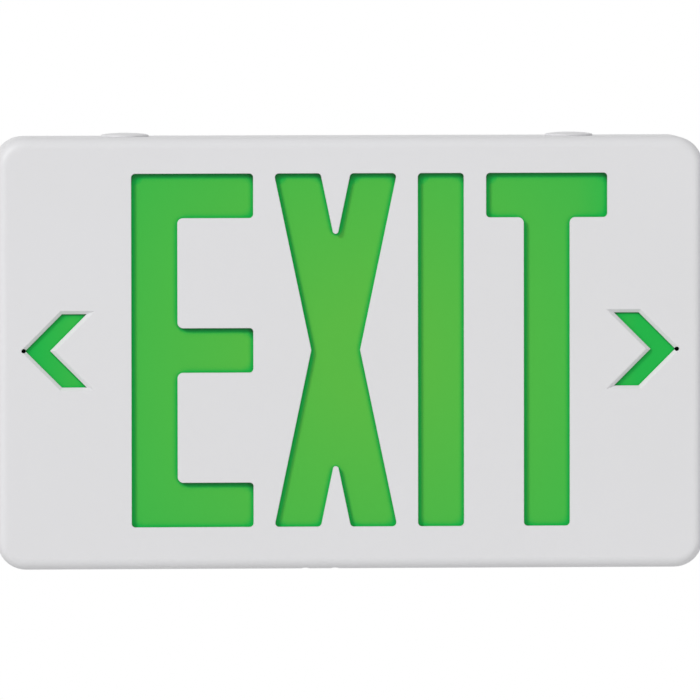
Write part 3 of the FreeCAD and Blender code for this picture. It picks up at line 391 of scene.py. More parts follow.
# Screws. Zinc-plated steel: four flat heads hold the back plate to the housing's corners, and eight pan
# heads hold the boards and the battery strap. Each head has a cross recess that is punched into it.
HEAD_RADIUS = mm(2.8)
PAN_HEIGHT = mm(1.8)
FLAT_RIM = mm(0.25)
FLAT_HEIGHT = mm(1.5)
SHANK_RADIUS = mm(1.3)
POINT_RADIUS = mm(0.4)
POINT_LENGTH = mm(0.8)
BACK_SHANK = mm(9)
BOARD_SHANK = mm(4.5)
RECESS_HALF_WIDTH = mm(0.42)
RECESS_REACH = mm(1.55)
RECESS_DEPTH = mm(1.1)
OVERCUT = mm(1)
FINE_SCRATCHES = 900.0
SCRATCH_IN_GLOSS = 0.25
ZINC = (0.58, 0.59, 0.60, 1)
ZINC_SHADE = (0.46, 0.47, 0.49, 1)


def worn_metal_group():
    """Fine scratches along one way, cloudy tone and slightly uneven gloss."""
    group, entry, leave = new_group("worn_metal", {"Scratch Scale": FINE_SCRATCHES, "Roughness": 0.35},
                                    colours=("Colour A", "Colour B"))
    nodes, links = group.nodes, group.links
    place = nodes.new("ShaderNodeTexCoord")
    along = nodes.new("ShaderNodeMapping")
    along.inputs["Scale"].default_value = (0.08, 1, 1)
    scratch = nodes.new("ShaderNodeTexNoise")
    scratch.inputs["Detail"].default_value = 4
    cloud = nodes.new("ShaderNodeTexNoise")
    cloud.inputs["Scale"].default_value = 140
    blend = nodes.new("ShaderNodeMix")
    blend.data_type = "RGBA"
    gloss = nodes.new("ShaderNodeMath")
    gloss.operation = "MULTIPLY_ADD"
    gloss.inputs[1].default_value = SCRATCH_IN_GLOSS
    links.new(place.outputs["Object"], along.inputs["Vector"])
    links.new(along.outputs["Vector"], scratch.inputs["Vector"])
    links.new(entry.outputs["Scratch Scale"], scratch.inputs["Scale"])
    links.new(place.outputs["Object"], cloud.inputs["Vector"])
    links.new(cloud.outputs["Fac"], blend.inputs["Factor"])
    links.new(entry.outputs["Colour A"], blend.inputs["A"])
    links.new(entry.outputs["Colour B"], blend.inputs["B"])
    links.new(scratch.outputs["Fac"], gloss.inputs[0])
    links.new(entry.outputs["Roughness"], gloss.inputs[2])
    links.new(blend.outputs["Result"], leave.inputs["Color"])
    links.new(gloss.outputs["Value"], leave.inputs["Roughness"])
    links.new(scratch.outputs["Fac"], leave.inputs["Height"])
    return group


worn_metal = worn_metal_group()


def metal(name, colour_a, colour_b, roughness, scratch_scale=FINE_SCRATCHES, ease=mm(0.12)):
    """A metal with fine scratches and eased edges."""
    material, nodes, links, shader = new_material(name, roughness, metallic=1.0)
    skin = nodes.new("ShaderNodeGroup")
    skin.node_tree = worn_metal
    skin.inputs["Colour A"].default_value = colour_a
    skin.inputs["Colour B"].default_value = colour_b
    skin.inputs["Roughness"].default_value = roughness
    skin.inputs["Scratch Scale"].default_value = scratch_scale
    eased = nodes.new("ShaderNodeBevel")
    eased.inputs["Radius"].default_value = ease
    lift = nodes.new("ShaderNodeBump")
    lift.inputs["Strength"].default_value = 0.12
    lift.inputs["Distance"].default_value = mm(0.03)
    links.new(skin.outputs["Color"], shader.inputs["Base Color"])
    links.new(skin.outputs["Roughness"], shader.inputs["Roughness"])
    links.new(skin.outputs["Height"], lift.inputs["Height"])
    links.new(eased.outputs["Normal"], lift.inputs["Normal"])
    links.new(lift.outputs["Normal"], shader.inputs["Normal"])
    return material


def turned(piece, angle, axis):
    """Turn a piece about the origin by the right-hand rule. With no window the operator turns backwards."""
    pick(piece)
    bpy.ops.transform.rotate(value=-angle, orient_axis=axis, center_override=(0, 0, 0))
    bpy.ops.object.transform_apply(location=True, rotation=True, scale=True)


def brick(name, low, high):
    """A box between two corners, to be worked on."""
    deselect_all()
    low, high = Vector(low), Vector(high)
    bpy.ops.mesh.primitive_cube_add(size=1, location=(low + high) / 2)
    piece = start_piece(name)
    piece.scale = high - low
    bpy.ops.object.transform_apply(location=True, rotation=True, scale=True)
    return piece


def bevelled(piece, width, segments=3):
    """Round the edges of a piece."""
    pick(piece)
    rounding = piece.modifiers.new("rounding", "BEVEL")
    rounding.width = width
    rounding.segments = segments
    rounding.limit_method = "ANGLE"
    bpy.ops.object.modifier_apply(modifier=rounding.name)
    return piece


def cut(piece, cutter):
    """Take one piece out of another."""
    pick(piece)
    hole = piece.modifiers.new("hole", "BOOLEAN")
    hole.object = cutter
    hole.operation = "DIFFERENCE"
    bpy.ops.object.modifier_apply(modifier=hole.name)
    bpy.data.objects.remove(cutter)
    return piece


def joined(pieces, name):
    """Make one object out of several."""
    deselect_all()
    for piece in pieces:
        piece.select_set(True)
    bpy.context.view_layer.objects.active = pieces[0]
    if len(pieces) > 1:
        bpy.ops.object.join()
    whole = bpy.context.view_layer.objects.active
    whole.name = whole.data.name = name
    return whole


def copied(piece, move):
    """A copy with its own mesh, at another place."""
    twin = piece.copy()
    twin.data = piece.data.copy()
    bpy.context.collection.objects.link(twin)
    pick(twin)
    twin.location = move
    bpy.ops.object.transform_apply(location=True, rotation=True, scale=True)
    return twin


def placed(piece, nodes, body="housing", material=None):
    """Give a finished piece its finish, its body and the nodes that it stands for."""
    if material:
        piece.data.materials.clear()
        piece.data.materials.append(material)
    if nodes:
        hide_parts(*nodes)
    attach(piece, body)


def screw(name, head_outline, shank_length):
    """A screw that stands head up, with the head's underside or its flat face at the origin."""
    outline = head_outline + [(SHANK_RADIUS, POINT_LENGTH - shank_length), (POINT_RADIUS, -shank_length),
                              (0, -shank_length)]
    body = spun(name, outline, (0, 0, 0), segments=28)
    top = head_outline[0][1]
    for reach_x, reach_y in ((RECESS_REACH, RECESS_HALF_WIDTH), (RECESS_HALF_WIDTH, RECESS_REACH)):
        cut(body, brick("recess", (-reach_x, -reach_y, top - RECESS_DEPTH),
                        (reach_x, reach_y, top + OVERCUT)))
    pick(body)
    bpy.ops.object.shade_smooth_by_angle(angle=math.radians(30))
    return body


def screws_at(name, first, places):
    """Copies of a screw, joined. The first one is used up."""
    copies = [copied(first, place) for place in places]
    bpy.data.objects.remove(first)
    return joined(copies, name)


def corner_places(name, level):
    """Middles of the heads of screws that stand at the corners of a node's box, seen from in front."""
    low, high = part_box(name)
    xs = sorted({round(x, 6) for x in (low.x + HEAD_RADIUS, high.x - HEAD_RADIUS)})
    zs = sorted({round(z, 6) for z in (low.z + HEAD_RADIUS, high.z - HEAD_RADIUS)})
    return [(x, level, z) for x in xs for z in zs]


def pan_outline():
    """Half the section of a pan head."""
    return [(0, PAN_HEIGHT), (mm(1.2), mm(1.76)), (mm(2.1), mm(1.5)), (mm(2.6), mm(1.0)),
            (HEAD_RADIUS, mm(0.4)), (HEAD_RADIUS, 0), (SHANK_RADIUS, 0)]


zinc = metal("zinc_plate", ZINC, ZINC_SHADE, 0.28)
flat = screw("flat_screw", [(0, 0), (HEAD_RADIUS, 0), (HEAD_RADIUS, -FLAT_RIM),
                            (SHANK_RADIUS, -FLAT_HEIGHT)], BACK_SHANK)
turned(flat, -math.pi / 2, "X")
placed(screws_at("flat_head_screws", flat, corner_places("back_screws", 0)), ["back_screws"],
       material=zinc)
for node_name in ("board_screws", "strap_screws"):
    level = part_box(node_name)[0].y + PAN_HEIGHT
    pan = screw(node_name + "_first", pan_outline(), BOARD_SHANK)
    turned(pan, math.pi / 2, "X")
    placed(screws_at(node_name + "_set", pan, corner_places(node_name, level)), [node_name],
           material=zinc)
low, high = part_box("switch_board_screws")
pan = screw("switch_board_screw_first", pan_outline(), BOARD_SHANK)
spots = [(x, (low.y + high.y) / 2, high.z - PAN_HEIGHT) for x in (low.x + HEAD_RADIUS, high.x - HEAD_RADIUS)]
placed(screws_at("switch_board_screw_set", pan, spots), ["switch_board_screws"], material=zinc)


# Charger board and switch board. Glass-fibre boards under green solder mask, with paler copper tracks below
# it. The three light strips are the same, under white mask.
MASK_GREEN = (0.018, 0.13, 0.055, 1)
TRACK_GREEN = (0.035, 0.21, 0.085, 1)
MASK_WHITE = (0.76, 0.77, 0.76, 1)
TRACK_WHITE = (0.70, 0.72, 0.71, 1)
TINNED_PAD = (0.55, 0.56, 0.52, 1)
GREEN_BOARD_SCALE = 90
WHITE_BOARD_SCALE = 60
TRACK_SHARE = 0.52
PAD_RADIUS = 0.13


def tracks_group():
    """Broken runs of track both ways, with tinned pads between them, and their height."""
    group, entry, leave = new_group("tracks", {"Scale": GREEN_BOARD_SCALE}, colours=("Mask", "Track", "Pad"),
                                    outputs=("Color", "Height"))
    nodes, links = group.nodes, group.links
    place = nodes.new("ShaderNodeTexCoord")
    runs = []
    for turn, offset, patch_scale in ((0, 0.37, 69.4), (math.pi / 2, 0.61, 74.2)):
        lay = nodes.new("ShaderNodeMapping")
        lay.inputs["Rotation"].default_value = (math.pi / 2, 0, turn)
        grid = nodes.new("ShaderNodeTexBrick")
        grid.offset = offset
        grid.inputs["Color1"].default_value = grid.inputs["Color2"].default_value = (0, 0, 0, 1)
        grid.inputs["Mortar"].default_value = (1, 1, 1, 1)
        grid.inputs["Mortar Size"].default_value = 0.028
        grid.inputs["Mortar Smooth"].default_value = 0
        grid.inputs["Brick Width"].default_value = 2.3
        grid.inputs["Row Height"].default_value = 0.21
        patch = nodes.new("ShaderNodeTexNoise")
        patch.inputs["Scale"].default_value = patch_scale
        patch.inputs["Detail"].default_value = 0
        kept = nodes.new("ShaderNodeMath")
        kept.operation = "GREATER_THAN"
        kept.inputs[1].default_value = TRACK_SHARE
        run = nodes.new("ShaderNodeMath")
        run.operation = "MULTIPLY"
        links.new(place.outputs["Object"], lay.inputs["Vector"])
        links.new(lay.outputs["Vector"], grid.inputs["Vector"])
        links.new(lay.outputs["Vector"], patch.inputs["Vector"])
        links.new(entry.outputs["Scale"], grid.inputs["Scale"])
        links.new(patch.outputs["Fac"], kept.inputs[0])
        links.new(grid.outputs["Fac"], run.inputs[0])
        links.new(kept.outputs["Value"], run.inputs[1])
        runs.append(run)
    either = nodes.new("ShaderNodeMath")
    either.operation = "MAXIMUM"
    dots = nodes.new("ShaderNodeTexVoronoi")
    dots.inputs["Scale"].default_value = 170
    dots.inputs["Randomness"].default_value = 0.75
    pad = nodes.new("ShaderNodeMath")
    pad.operation = "LESS_THAN"
    pad.inputs[1].default_value = PAD_RADIUS
    tracked = nodes.new("ShaderNodeMix")
    tracked.data_type = "RGBA"
    padded = nodes.new("ShaderNodeMix")
    padded.data_type = "RGBA"
    raised = nodes.new("ShaderNodeMath")
    raised.operation = "MAXIMUM"
    links.new(runs[0].outputs["Value"], either.inputs[0])
    links.new(runs[1].outputs["Value"], either.inputs[1])
    links.new(place.outputs["Object"], dots.inputs["Vector"])
    links.new(dots.outputs["Distance"], pad.inputs[0])
    links.new(either.outputs["Value"], tracked.inputs["Factor"])
    links.new(entry.outputs["Mask"], tracked.inputs["A"])
    links.new(entry.outputs["Track"], tracked.inputs["B"])
    links.new(pad.outputs["Value"], padded.inputs["Factor"])
    links.new(tracked.outputs["Result"], padded.inputs["A"])
    links.new(entry.outputs["Pad"], padded.inputs["B"])
    links.new(either.outputs["Value"], raised.inputs[0])
    links.new(pad.outputs["Value"], raised.inputs[1])
    links.new(padded.outputs["Result"], leave.inputs["Color"])
    links.new(raised.outputs["Value"], leave.inputs["Height"])
    return group


tracks = tracks_group()


def board_material(name, mask, track, scale):
    """A circuit board's face, with its tracks and pads standing a little proud."""
    material, nodes, links, shader = new_material(name, 0.3)
    layout = nodes.new("ShaderNodeGroup")
    layout.node_tree = tracks
    layout.inputs["Mask"].default_value = mask
    layout.inputs["Track"].default_value = track
    layout.inputs["Pad"].default_value = TINNED_PAD
    layout.inputs["Scale"].default_value = scale
    lift = nodes.new("ShaderNodeBump")
    lift.inputs["Strength"].default_value = 0.4
    lift.inputs["Distance"].default_value = mm(0.05)
    links.new(layout.outputs["Color"], shader.inputs["Base Color"])
    links.new(layout.outputs["Height"], lift.inputs["Height"])
    links.new(lift.outputs["Normal"], shader.inputs["Normal"])
    return material


green_board = board_material("green_board", MASK_GREEN, TRACK_GREEN, GREEN_BOARD_SCALE)
white_board = board_material("white_board", MASK_WHITE, TRACK_WHITE, WHITE_BOARD_SCALE)
dress("charger_board", green_board)
dress("switch_board", green_board)
for name in ("light_strip_top", "light_strip_left", "light_strip_right"):
    dress(name, white_board)


# Lamp chips. Small white packages, each with a round yellow window of phosphor. They are soldered along the
# strips in even rows, and shine towards the middle of the light.
CHIP_WHITE = (0.80, 0.80, 0.77, 1)
CHIP_SHADE = (0.74, 0.74, 0.71, 1)
PHOSPHOR = (0.80, 0.62, 0.10, 1)
PHOSPHOR_SHADE = (0.74, 0.55, 0.08, 1)
CHIP_LENGTH = mm(2.8)
CHIP_ROUND = mm(0.15)
WINDOW_SHARE = 0.38
WINDOW_DEPTH = mm(0.25)
LENS_SHARE = 0.37
LENS_SINK = mm(0.22)
LENS_THICKNESS = mm(0.1)
LENS_ROUND = mm(0.03)
LENS_SIDES = 24
TOP_CHIPS = 12
LOWER_CHIPS = 5

chip_white = moulded("chip_package", CHIP_WHITE, CHIP_SHADE, 0.35, ease=mm(0.1))
phosphor = moulded("phosphor", PHOSPHOR, PHOSPHOR_SHADE, 0.5, grain_scale=4000, ease=mm(0.05))


def chip_row(name, count, up):
    """A row of chips that stands for a node of chips, with windows that face the middle of the light."""
    low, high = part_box(name)
    width = high.y - low.y
    step = (high.x - low.x - CHIP_LENGTH) / (count - 1)
    package = bevelled(brick(name + "_package", low, (low.x + CHIP_LENGTH, high.y, high.z)), CHIP_ROUND, 2)
    package.data.materials.append(chip_white)
    face, sink = (low.z, LENS_SINK) if up else (high.z, -LENS_SINK)
    middle = (low.x + CHIP_LENGTH / 2, (low.y + high.y) / 2)
    deselect_all()
    bpy.ops.mesh.primitive_cylinder_add(vertices=LENS_SIDES, radius=width * WINDOW_SHARE,
                                        depth=WINDOW_DEPTH * 2, location=(*middle, face))
    cut(package, start_piece("window_cutter"))
    deselect_all()
    bpy.ops.mesh.primitive_cylinder_add(vertices=LENS_SIDES, radius=width * LENS_SHARE,
                                        depth=LENS_THICKNESS, location=(*middle, face + sink))
    window = bevelled(start_piece("window"), LENS_ROUND, 1)
    bpy.ops.object.transform_apply(location=True, rotation=True, scale=True)
    window.data.materials.append(phosphor)
    first = joined([package, window], name + "_first")
    copies = [copied(first, (step * number, 0, 0)) for number in range(count)]
    bpy.data.objects.remove(first)
    placed(joined(copies, name + "_chips"), [name])


chip_row("light_strip_top_lamps", TOP_CHIPS, True)
chip_row("light_strip_left_lamps", LOWER_CHIPS, False)
chip_row("light_strip_right_lamps", LOWER_CHIPS, False)


# Transformer. A stack of thin steel laminations round a coil that is wound in yellow polyester tape. It
# stands on the charger board.
LAMINATION = (0.30, 0.30, 0.31, 1)
LAMINATION_SHADE = (0.17, 0.17, 0.18, 1)
LAMINATION_BANDS = 620
TAPE = (0.72, 0.52, 0.10, 1)
TAPE_SHADE = (0.62, 0.43, 0.07, 1)
TAPE_BANDS = 250


def layered(name, colour_a, colour_b, axis, bands, roughness, metallic=0.0):
    """A stack or a winding: fine even bands along one axis."""
    material, nodes, links, shader = new_material(name, roughness, metallic=metallic)
    place = nodes.new("ShaderNodeTexCoord")
    wave = nodes.new("ShaderNodeTexWave")
    wave.bands_direction = axis
    wave.inputs["Scale"].default_value = bands
    wave.inputs["Distortion"].default_value = 0.4
    wave.inputs["Detail"].default_value = 1
    blend = nodes.new("ShaderNodeMix")
    blend.data_type = "RGBA"
    blend.inputs["A"].default_value = colour_a
    blend.inputs["B"].default_value = colour_b
    eased = nodes.new("ShaderNodeBevel")
    eased.inputs["Radius"].default_value = mm(0.6)
    lift = nodes.new("ShaderNodeBump")
    lift.inputs["Strength"].default_value = 0.5
    lift.inputs["Distance"].default_value = mm(0.1)
    links.new(place.outputs["Object"], wave.inputs["Vector"])
    links.new(wave.outputs["Fac"], blend.inputs["Factor"])
    links.new(blend.outputs["Result"], shader.inputs["Base Color"])
    links.new(wave.outputs["Fac"], lift.inputs["Height"])
    links.new(eased.outputs["Normal"], lift.inputs["Normal"])
    links.new(lift.outputs["Normal"], shader.inputs["Normal"])
    return material


dress("transformer_core", layered("laminations", LAMINATION, LAMINATION_SHADE, "Y", LAMINATION_BANDS, 0.42,
                                  metallic=0.8))
dress("transformer_coil", layered("coil_tape", TAPE, TAPE_SHADE, "Z", TAPE_BANDS, 0.34))


# Capacitors. Two electrolytic cans in dark blue sleeves, with a crimped groove near the foot, a bare top with
# a scored cross, and a pale stripe down the side that marks the lead.
CAN_BLUE = (0.018, 0.035, 0.13, 1)
CAN_BLUE_SHADE = (0.026, 0.048, 0.17, 1)
STRIPE = (0.60, 0.62, 0.66, 1)
STRIPE_SHADE = (0.55, 0.57, 0.61, 1)
ALUMINIUM = (0.74, 0.75, 0.76, 1)
ALUMINIUM_SHADE = (0.66, 0.67, 0.68, 1)
CAN_RADIUS = mm(5)
CAN_PLAY = mm(0.1)
CAN_ROUND = mm(0.5)
CAN_TOP_SINK = mm(0.25)
CAN_TOP_INSET = mm(1.1)
CAN_RIM_INSET = mm(0.9)
CAN_EDGE_INSET = mm(0.35)
CAN_BARE_INSET = mm(0.8)
CAN_FOOT = mm(0.3)
GROOVE_DEPTH = mm(0.55)
GROOVE_HEIGHTS = mm(1.4), mm(2.0), mm(2.4), mm(3.0)
SCORE_REACH = mm(2.6)
SCORE_HALF_WIDTH = mm(0.12)
SCORE_DEPTH = mm(0.42)
STRIPE_START = 0.88

sleeve_blue = moulded("capacitor_sleeve", CAN_BLUE, CAN_BLUE_SHADE, 0.25, ease=mm(0.2))
stripe = moulded("capacitor_stripe", STRIPE, STRIPE_SHADE, 0.3, ease=mm(0.2))
bare_aluminium = metal("bare_aluminium", ALUMINIUM, ALUMINIUM_SHADE, 0.3)


def capacitor(name):
    """A can that stands foot down at the origin."""
    low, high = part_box("capacitors")
    tall, radius = high.y - low.y, CAN_RADIUS - CAN_PLAY
    groove = radius - GROOVE_DEPTH
    low_edge, low_groove, high_groove, high_edge = GROOVE_HEIGHTS
    outline = [(0, tall - CAN_TOP_SINK), (radius - CAN_TOP_INSET, tall - CAN_TOP_SINK),
               (radius - CAN_RIM_INSET, tall), (radius - CAN_EDGE_INSET, tall), (radius, tall - CAN_ROUND),
               (radius, high_edge), (groove, high_groove), (groove, low_groove), (radius, low_edge),
               (radius, CAN_FOOT), (radius - CAN_FOOT, 0), (0, 0)]
    can = spun(name, outline, (0, 0, 0), segments=48)
    for material in (sleeve_blue, stripe, bare_aluminium):
        can.data.materials.append(material)
    for reach_x, reach_y in ((SCORE_REACH, SCORE_HALF_WIDTH), (SCORE_HALF_WIDTH, SCORE_REACH)):
        cut(can, brick("score", (-reach_x, -reach_y, tall - SCORE_DEPTH), (reach_x, reach_y, tall + OVERCUT)))
    for face in can.data.polygons:
        middle, normal = face.center, face.normal
        if middle.z > tall - CAN_ROUND and math.hypot(middle.x, middle.y) < radius - CAN_BARE_INSET:
            face.material_index = 2
        elif middle.x > radius * STRIPE_START and abs(normal.z) < 0.9:
            face.material_index = 1
        else:
            face.material_index = 0
    return can


can = capacitor("can_first")
turned(can, math.pi / 2, "X")
low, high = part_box("capacitors")
foot, level = high.y, (low.z + high.z) / 2
cans = [copied(can, (x, foot, level)) for x in (low.x + CAN_RADIUS, high.x - CAN_RADIUS)]
bpy.data.objects.remove(can)
placed(joined(cans, "capacitor_cans"), ["capacitors"])


# Diodes. Four black moulded bodies in a column, each with a pale band at one end and bare leads bent down
# into the board.
DIODE_COUNT = 4
DIODE_RADIUS = mm(1.35)
DIODE_PLAY = mm(0.02)
DIODE_ROUND = mm(0.3)
BAND_START = mm(0.8)
BAND_END = mm(1.5)
LEAD_RADIUS = mm(0.4)
LEAD_REACH = mm(2.2)
LEAD_SIDES = 14
CASE_BLACK = (0.020, 0.020, 0.022, 1)
CASE_BLACK_SHADE = (0.030, 0.030, 0.032, 1)
BAND = (0.62, 0.62, 0.60, 1)
BAND_SHADE = (0.56, 0.56, 0.54, 1)
TINNED = (0.68, 0.68, 0.67, 1)
TINNED_SHADE = (0.58, 0.58, 0.57, 1)

diode_black = moulded("diode_case", CASE_BLACK, CASE_BLACK_SHADE, 0.4, ease=mm(0.1))
diode_band = moulded("diode_band", BAND, BAND_SHADE, 0.4, ease=mm(0.1))
tinned = metal("tinned_lead", TINNED, TINNED_SHADE, 0.3, ease=mm(0.05))


def lead(start, end):
    """A straight length of lead between two points, with rounded ends."""
    run = end - start
    deselect_all()
    bpy.ops.mesh.primitive_cylinder_add(vertices=LEAD_SIDES, radius=LEAD_RADIUS,
                                        depth=run.length + LEAD_RADIUS, location=(start + end) / 2,
                                        rotation=run.to_track_quat("Z", "Y").to_euler())
    wire = start_piece("lead")
    bpy.ops.object.transform_apply(location=True, rotation=True, scale=True)
    wire.data.materials.append(tinned)
    return bevelled(wire, LEAD_RADIUS * 0.5, 2)


def diode(length):
    """A diode that lies along X, with its middle at the origin and its leads going back to the board."""
    radius, half = DIODE_RADIUS - DIODE_PLAY, length / 2
    outline = [(0, half), (radius - DIODE_ROUND, half), (radius, half - DIODE_ROUND),
               (radius, half - BAND_START), (radius, half - BAND_END), (radius, -half + DIODE_ROUND),
               (radius - DIODE_ROUND, -half), (0, -half)]
    case = spun("case", outline, (0, 0, 0), segments=28)
    case.data.materials.append(diode_black)
    case.data.materials.append(diode_band)
    for face in case.data.polygons:
        inside = half - BAND_END < face.center.z < half - BAND_START
        face.material_index = 1 if inside and math.hypot(face.center.x, face.center.y) > radius * 0.9 else 0
    turned(case, math.pi / 2, "Y")
    pieces = [case]
    for side in (-1, 1):
        root = Vector((side * half, 0, 0))
        bend = root + Vector((side * LEAD_REACH, 0, 0))
        pieces += [lead(root, bend), lead(bend, bend + Vector((0, DIODE_RADIUS, 0)))]
    whole = joined(pieces, "diode_first")
    pick(whole)
    bpy.ops.object.shade_smooth_by_angle(angle=math.radians(35))
    return whole


low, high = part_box("diodes")
first = diode(high.x - low.x)
step = (high.z - low.z - 2 * DIODE_RADIUS) / (DIODE_COUNT - 1)
diodes = [copied(first, ((low.x + high.x) / 2, high.y - DIODE_RADIUS, low.z + DIODE_RADIUS + step * number))
          for number in range(DIODE_COUNT)]
bpy.data.objects.remove(first)
placed(joined(diodes, "diode_column"), ["diodes"])


# Relay. A black sealed case with rounded corners, a lid that is set in a little, and a vent in the lid's
# corner. Its pins are soldered into the charger board.
RELAY_BLACK = (0.022, 0.022, 0.025, 1)
RELAY_BLACK_SHADE = (0.032, 0.032, 0.035, 1)
RELAY_ROUND = mm(0.5)
LID_HEIGHT = mm(0.9)
LID_INSET = mm(0.4)
LID_SEAT = mm(0.7)
LID_ROUND = mm(0.45)
VENT_WIDTH = mm(1.2)
VENT_INSET = mm(2.2)
VENT_DEPTH = mm(0.5)

low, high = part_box("relay")
case = bevelled(brick("relay_body", (low.x, low.y + LID_HEIGHT, low.z), high), RELAY_ROUND)
lid = bevelled(brick("relay_lid", (low.x + LID_INSET, low.y, low.z + LID_INSET),
                     (high.x - LID_INSET, low.y + LID_HEIGHT + LID_SEAT, high.z - LID_INSET)), LID_ROUND)
cut(lid, brick("vent", (high.x - VENT_INSET - VENT_WIDTH, low.y - OVERCUT, high.z - VENT_INSET - VENT_WIDTH),
               (high.x - VENT_INSET, low.y + VENT_DEPTH, high.z - VENT_INSET)))
relay_black = moulded("relay_case", RELAY_BLACK, RELAY_BLACK_SHADE, 0.3, ease=mm(0.15))
placed(joined([case, lid], "relay_case"), ["relay"], material=relay_black)


# Terminal block and battery socket. The block is green polyamide with a screw in each well, and the socket
# is white nylon with two bright pins.
TERMINAL_GREEN = (0.030, 0.21, 0.075, 1)
TERMINAL_GREEN_SHADE = (0.036, 0.25, 0.09, 1)
NYLON = (0.78, 0.77, 0.72, 1)
NYLON_SHADE = (0.73, 0.72, 0.67, 1)
TERMINAL_COUNT = 3
TERMINAL_SCREW_RADIUS = mm(2.0)
TERMINAL_SCREW_EDGE = mm(0.2)
TERMINAL_SCREW_RIM = mm(0.25)
TERMINAL_SCREW_HEIGHT = mm(1.6)
TERMINAL_SCREW_SINK = mm(2.2)
SLOT_REACH = mm(3)
SLOT_HALF_WIDTH = mm(0.25)
SLOT_DEPTH = mm(0.6)
PIN_HALF_WIDTH = mm(0.45)
PIN_FROM_MIDDLE = mm(1.9)
PIN_SINK = mm(1.2)
PIN_FOOT = mm(1.0)
PIN_ROUND = mm(0.15)

dress("terminal_block", moulded("terminal_plastic", TERMINAL_GREEN, TERMINAL_GREEN_SHADE, 0.42,
                                ease=mm(0.25)))
dress("battery_socket", moulded("socket_plastic", NYLON, NYLON_SHADE, 0.45, ease=mm(0.2)))
low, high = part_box("terminal_block")
outline = [(0, 0), (TERMINAL_SCREW_RADIUS - TERMINAL_SCREW_EDGE, 0),
           (TERMINAL_SCREW_RADIUS, -TERMINAL_SCREW_RIM), (TERMINAL_SCREW_RADIUS, -TERMINAL_SCREW_HEIGHT),
           (0, -TERMINAL_SCREW_HEIGHT)]
slotted = spun("slotted_screw", outline, (0, 0, 0), segments=28)
cut(slotted, brick("slot", (-SLOT_REACH, -SLOT_HALF_WIDTH, -SLOT_DEPTH),
                   (SLOT_REACH, SLOT_HALF_WIDTH, OVERCUT)))
turned(slotted, math.pi / 2, "X")
pitch = (high.x - low.x) / TERMINAL_COUNT
spots = [(low.x + pitch * (number + 0.5), low.y + TERMINAL_SCREW_SINK, (low.z + high.z) / 2)
         for number in range(TERMINAL_COUNT)]
placed(screws_at("terminal_screws", slotted, spots), [], material=zinc)

low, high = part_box("battery_socket")
middle = (low + high) / 2
pins = []
for side in (-1, 1):
    x = middle.x + side * PIN_FROM_MIDDLE
    pin = brick("socket_pin", (x - PIN_HALF_WIDTH, low.y + PIN_SINK, middle.z - PIN_HALF_WIDTH),
                (x + PIN_HALF_WIDTH, high.y - PIN_FOOT, middle.z + PIN_HALF_WIDTH))
    pins.append(bevelled(pin, PIN_ROUND, 2))
placed(joined(pins, "socket_pins"), [], material=tinned)


# Battery pack. Three nickel-cadmium cells side by side in one shrunk blue sleeve, which draws in between the
# cells and turns in over their ends.
CELL_COUNT = 3
SLEEVE_STEPS = 14
SLEEVE_DIP = 0.66
BATTERY_BLUE = (0.030, 0.115, 0.36, 1)
BATTERY_BLUE_SHADE = (0.024, 0.095, 0.31, 1)
# The sleeve's turned-in end, as distances in from its end face and from its side, from the middle outwards.
SLEEVE_END = (mm(0.4), mm(2.2)), (0, mm(1.5)), (0, mm(0.5)), (mm(0.5), 0)


def sleeve_outline(low, high):
    """The sleeve's section as points at its end: an arc round each cell, a shallow dip between cells."""
    radius, middle = (high.z - low.z) / CELL_COUNT / 2, (low.y + high.y) / 2
    points = []
    for side in (-1, 1):
        for cell in range(CELL_COUNT)[::-side]:
            for step in range(SLEEVE_STEPS):
                turn = math.pi * (step + 0.5) / SLEEVE_STEPS
                out, rise = math.sin(turn), side * math.cos(turn)
                at_an_end = (cell == 0 and rise < 0) or (cell == CELL_COUNT - 1 and rise > 0)
                points.append((0, middle + side * radius * (out if at_an_end else max(out, SLEEVE_DIP)),
                               low.z + radius * (2 * cell + 1 + rise)))
    return points


def battery_sleeve():
    """The section drawn as a closed line, extruded along X and drawn in towards both ends."""
    low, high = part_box("battery_pack")
    middle, half = (low + high) / 2, (high - low) / 2
    rings = [(low.x + depth, inset) for depth, inset in SLEEVE_END]
    rings += [(high.x - depth, inset) for depth, inset in SLEEVE_END[::-1]]
    outline = sleeve_outline(low, high)
    sleeve = drawn("battery_sleeve", outline + outline[:1])
    bpy.ops.object.mode_set(mode="EDIT")
    bpy.ops.mesh.select_all(action="SELECT")
    bpy.ops.mesh.remove_doubles(threshold=SAME_POINT)
    at, size_y, size_z = 0, 1, 1
    for number, (x, inset) in enumerate(rings):
        if number:
            bpy.ops.mesh.extrude_edges_move(TRANSFORM_OT_translate={"value": (x - at, 0, 0)})
        else:
            bpy.ops.transform.translate(value=(x, 0, 0))
        new_y, new_z = 1 - inset / half.y, 1 - inset / half.z
        bpy.ops.transform.resize(value=(1, new_y / size_y, new_z / size_z),
                                 center_override=(x, middle.y, middle.z))
        at, size_y, size_z = x, new_y, new_z
    bpy.ops.mesh.edge_face_add()
    bpy.ops.mesh.select_all(action="DESELECT")
    bpy.ops.mesh.select_non_manifold()
    bpy.ops.mesh.edge_face_add()
    bpy.ops.object.mode_set(mode="OBJECT")
    settle(sleeve)
    return sleeve


battery_blue = moulded("battery_sleeve", BATTERY_BLUE, BATTERY_BLUE_SHADE, 0.22, grain_scale=500, bump=0.12,
                       ease=mm(0.3))
placed(battery_sleeve(), ["battery_pack"], material=battery_blue)


# Battery strap. One strip of zinc-plated steel, stamped and bent over the cells, and screwed down at both
# feet. The stamping leaves fine scratches and eases its edges.
STRAP_STEEL = (0.55, 0.56, 0.57, 1)
STRAP_STEEL_SHADE = (0.47, 0.48, 0.50, 1)
STRAP_SCRATCHES = 1400

dress("battery_strap", metal("strap_steel", STRAP_STEEL, STRAP_STEEL_SHADE, 0.32,
                             scratch_scale=STRAP_SCRATCHES))


